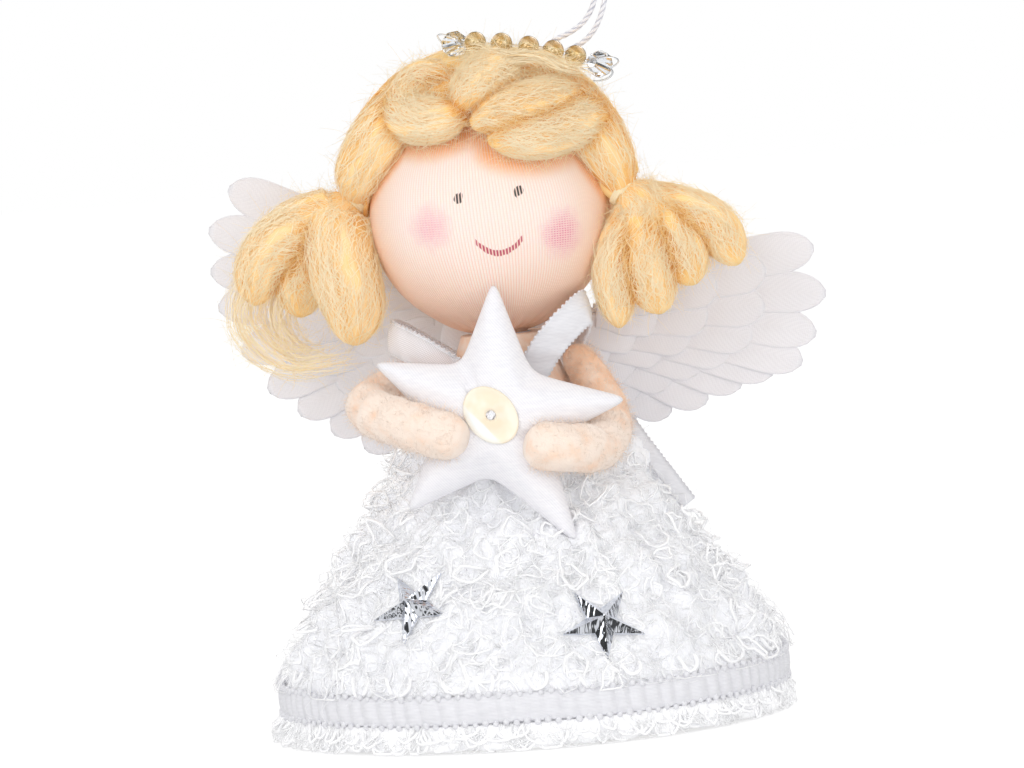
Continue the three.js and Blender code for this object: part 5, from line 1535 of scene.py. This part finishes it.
arms = {
    "radius": 4.4, "top": 3.2, "spread": 10.0, "shoulder": (13.1, -2.0, 66.0), "handY": -29.94,
    "left": [(-0.75, 0.28, -0.22), (-1.08, 0.614, -0.5), (-0.28, 0.893, -0.8), (0.71, 1, -1.1)],
    "right": [(0.45, 0.2, -0.75), (0.47, 0.58, -1.4), (-0.02, 0.893, -1.4), (-0.81, 1, -1.25)],
    "sides": 36, "bend": 0.52, "creases": 9,  # where along it the arm bends, and the creases there
    "fuzz": 6000, "fuzzSize": 0.024, "fuzzLong": (0.4, 1.3), "seed": 61,
}


def armPath(side):
    sign = -1 if side == "left" else 1
    pivot = np.array(arms["shoulder"]) * [sign, 1, 1]
    way = np.array(arms[side])
    points = np.stack([pivot[0] + way[:, 0] * arms["spread"], mix(pivot[1], arms["handY"], way[:, 1]),
                       pivot[2] + way[:, 2] * arms["spread"]], -1)
    back = unit(pivot - points[0])
    return smoothPath(np.vstack([pivot + 0.88 * arms["top"] * back, points]), 64)


def makeArms(felt, metal):
    dice = np.random.default_rng(arms["seed"])
    for side in ("left", "right"):
        path = armPath(side)
        length = pathLength(path)
        u = np.linspace(0, 1, len(path))
        full = mix(arms["top"], arms["radius"], ease(u, 0.1, 0.5))
        reach = np.minimum(u, 1 - u) * length + 0.12 * full
        radius = np.sqrt(np.clip(full ** 2 - np.clip(full - reach, 0, None) ** 2, 0.05, None))
        a = turnsOf(arms["sides"])
        bend = np.exp(-((u - arms["bend"]) / 0.13) ** 2)[:, None]
        fold = np.cos(arms["creases"] * fullTurn * u)[:, None]
        full = radius[:, None] * (1 - 0.03 * bend * fold) + 0 * a
        grid = tubeGrid(path, full, full, (0.2, 0.1, 1), arms["sides"])
        out = unit(grid - path[:, None])
        grid = grid + 0.28 * ripple(grid, (8, 5, 3.5), dice)[..., None] * out
        # painted shade: darker towards the shoulder and in the creases at the bend
        tone = mix(0.42, 0.85, ease(u, 0.3, 0.62))[:, None] - 0.12 * bend * fold + 0 * a
        body = skinOver(grid, tone)

        # nap: short bent fibres standing off the felt
        count = arms["fuzz"]
        row, column = dice.integers(2, len(path) - 2, count), dice.integers(0, arms["sides"], count)
        base, way = grid[row, column], out[row, column]
        lean = unit(dice.normal(size=(count, 3)))
        t = np.linspace(0, 1, 4)[None, :, None]
        long = dice.uniform(*arms["fuzzLong"], (count, 1, 1))
        bent = 0.55 * t * way[:, None] + (0.5 * t + 0.5 * t * t) * lean[:, None]
        nap = base[:, None] + long * bent - 0.1 * way[:, None]
        napTone = tone[row, column][:, None, None] + dice.uniform(0.1, 0.4, (count, 1, 1))
        fuzz = roundTube(nap, arms["fuzzSize"], way[:, None] + 0.3, 3, napTone)
        name = f"{side}_arm"
        piece = addPiece(f"{side}Arm", [body, fuzz], felt, "felt", name, body=name)
        refinish(f"{side}_arm_wire", metal)
    print("arms: done")


def wireFinish():
    place = newFinish("drawn wire")
    line = noise(stretch(place, 4.0, 0.6, 4.0), 2.0, 2.0)
    colour = shade(line, tint(120, 124, 130), tint(176, 180, 186))
    return coat(place, colour, {"Metallic": 1.0, "Roughness": 0.25 + 0.2 * line})


makeArms(feltPeach, wireFinish())


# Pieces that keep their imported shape

def mirrorFinish():
    place = newFinish("silver mirror facets")
    haze = noise(place, 0.8, 2.0)
    drawn = noise(stretch(place, 1.0, 1.0, 0.4), 0.9, 1.0)  # facets a little out of true
    colour = shade(haze, tint(206, 210, 220), tint(238, 240, 244))
    return coat(place, colour, {"Metallic": 1.0, "Roughness": 0.03 + 0.06 * haze}, drawn, 0.3)


mirror = mirrorFinish()
for gem in skirt["gems"]:
    refinish(gem, mirror)
card = grainFinish(
    "grey-white card", tint(214, 210, 202), tint(240, 238, 232), scale=2.0, rough=0.85, depth=0.05)
refinish("base_disc", card)
print("kept pieces: done")
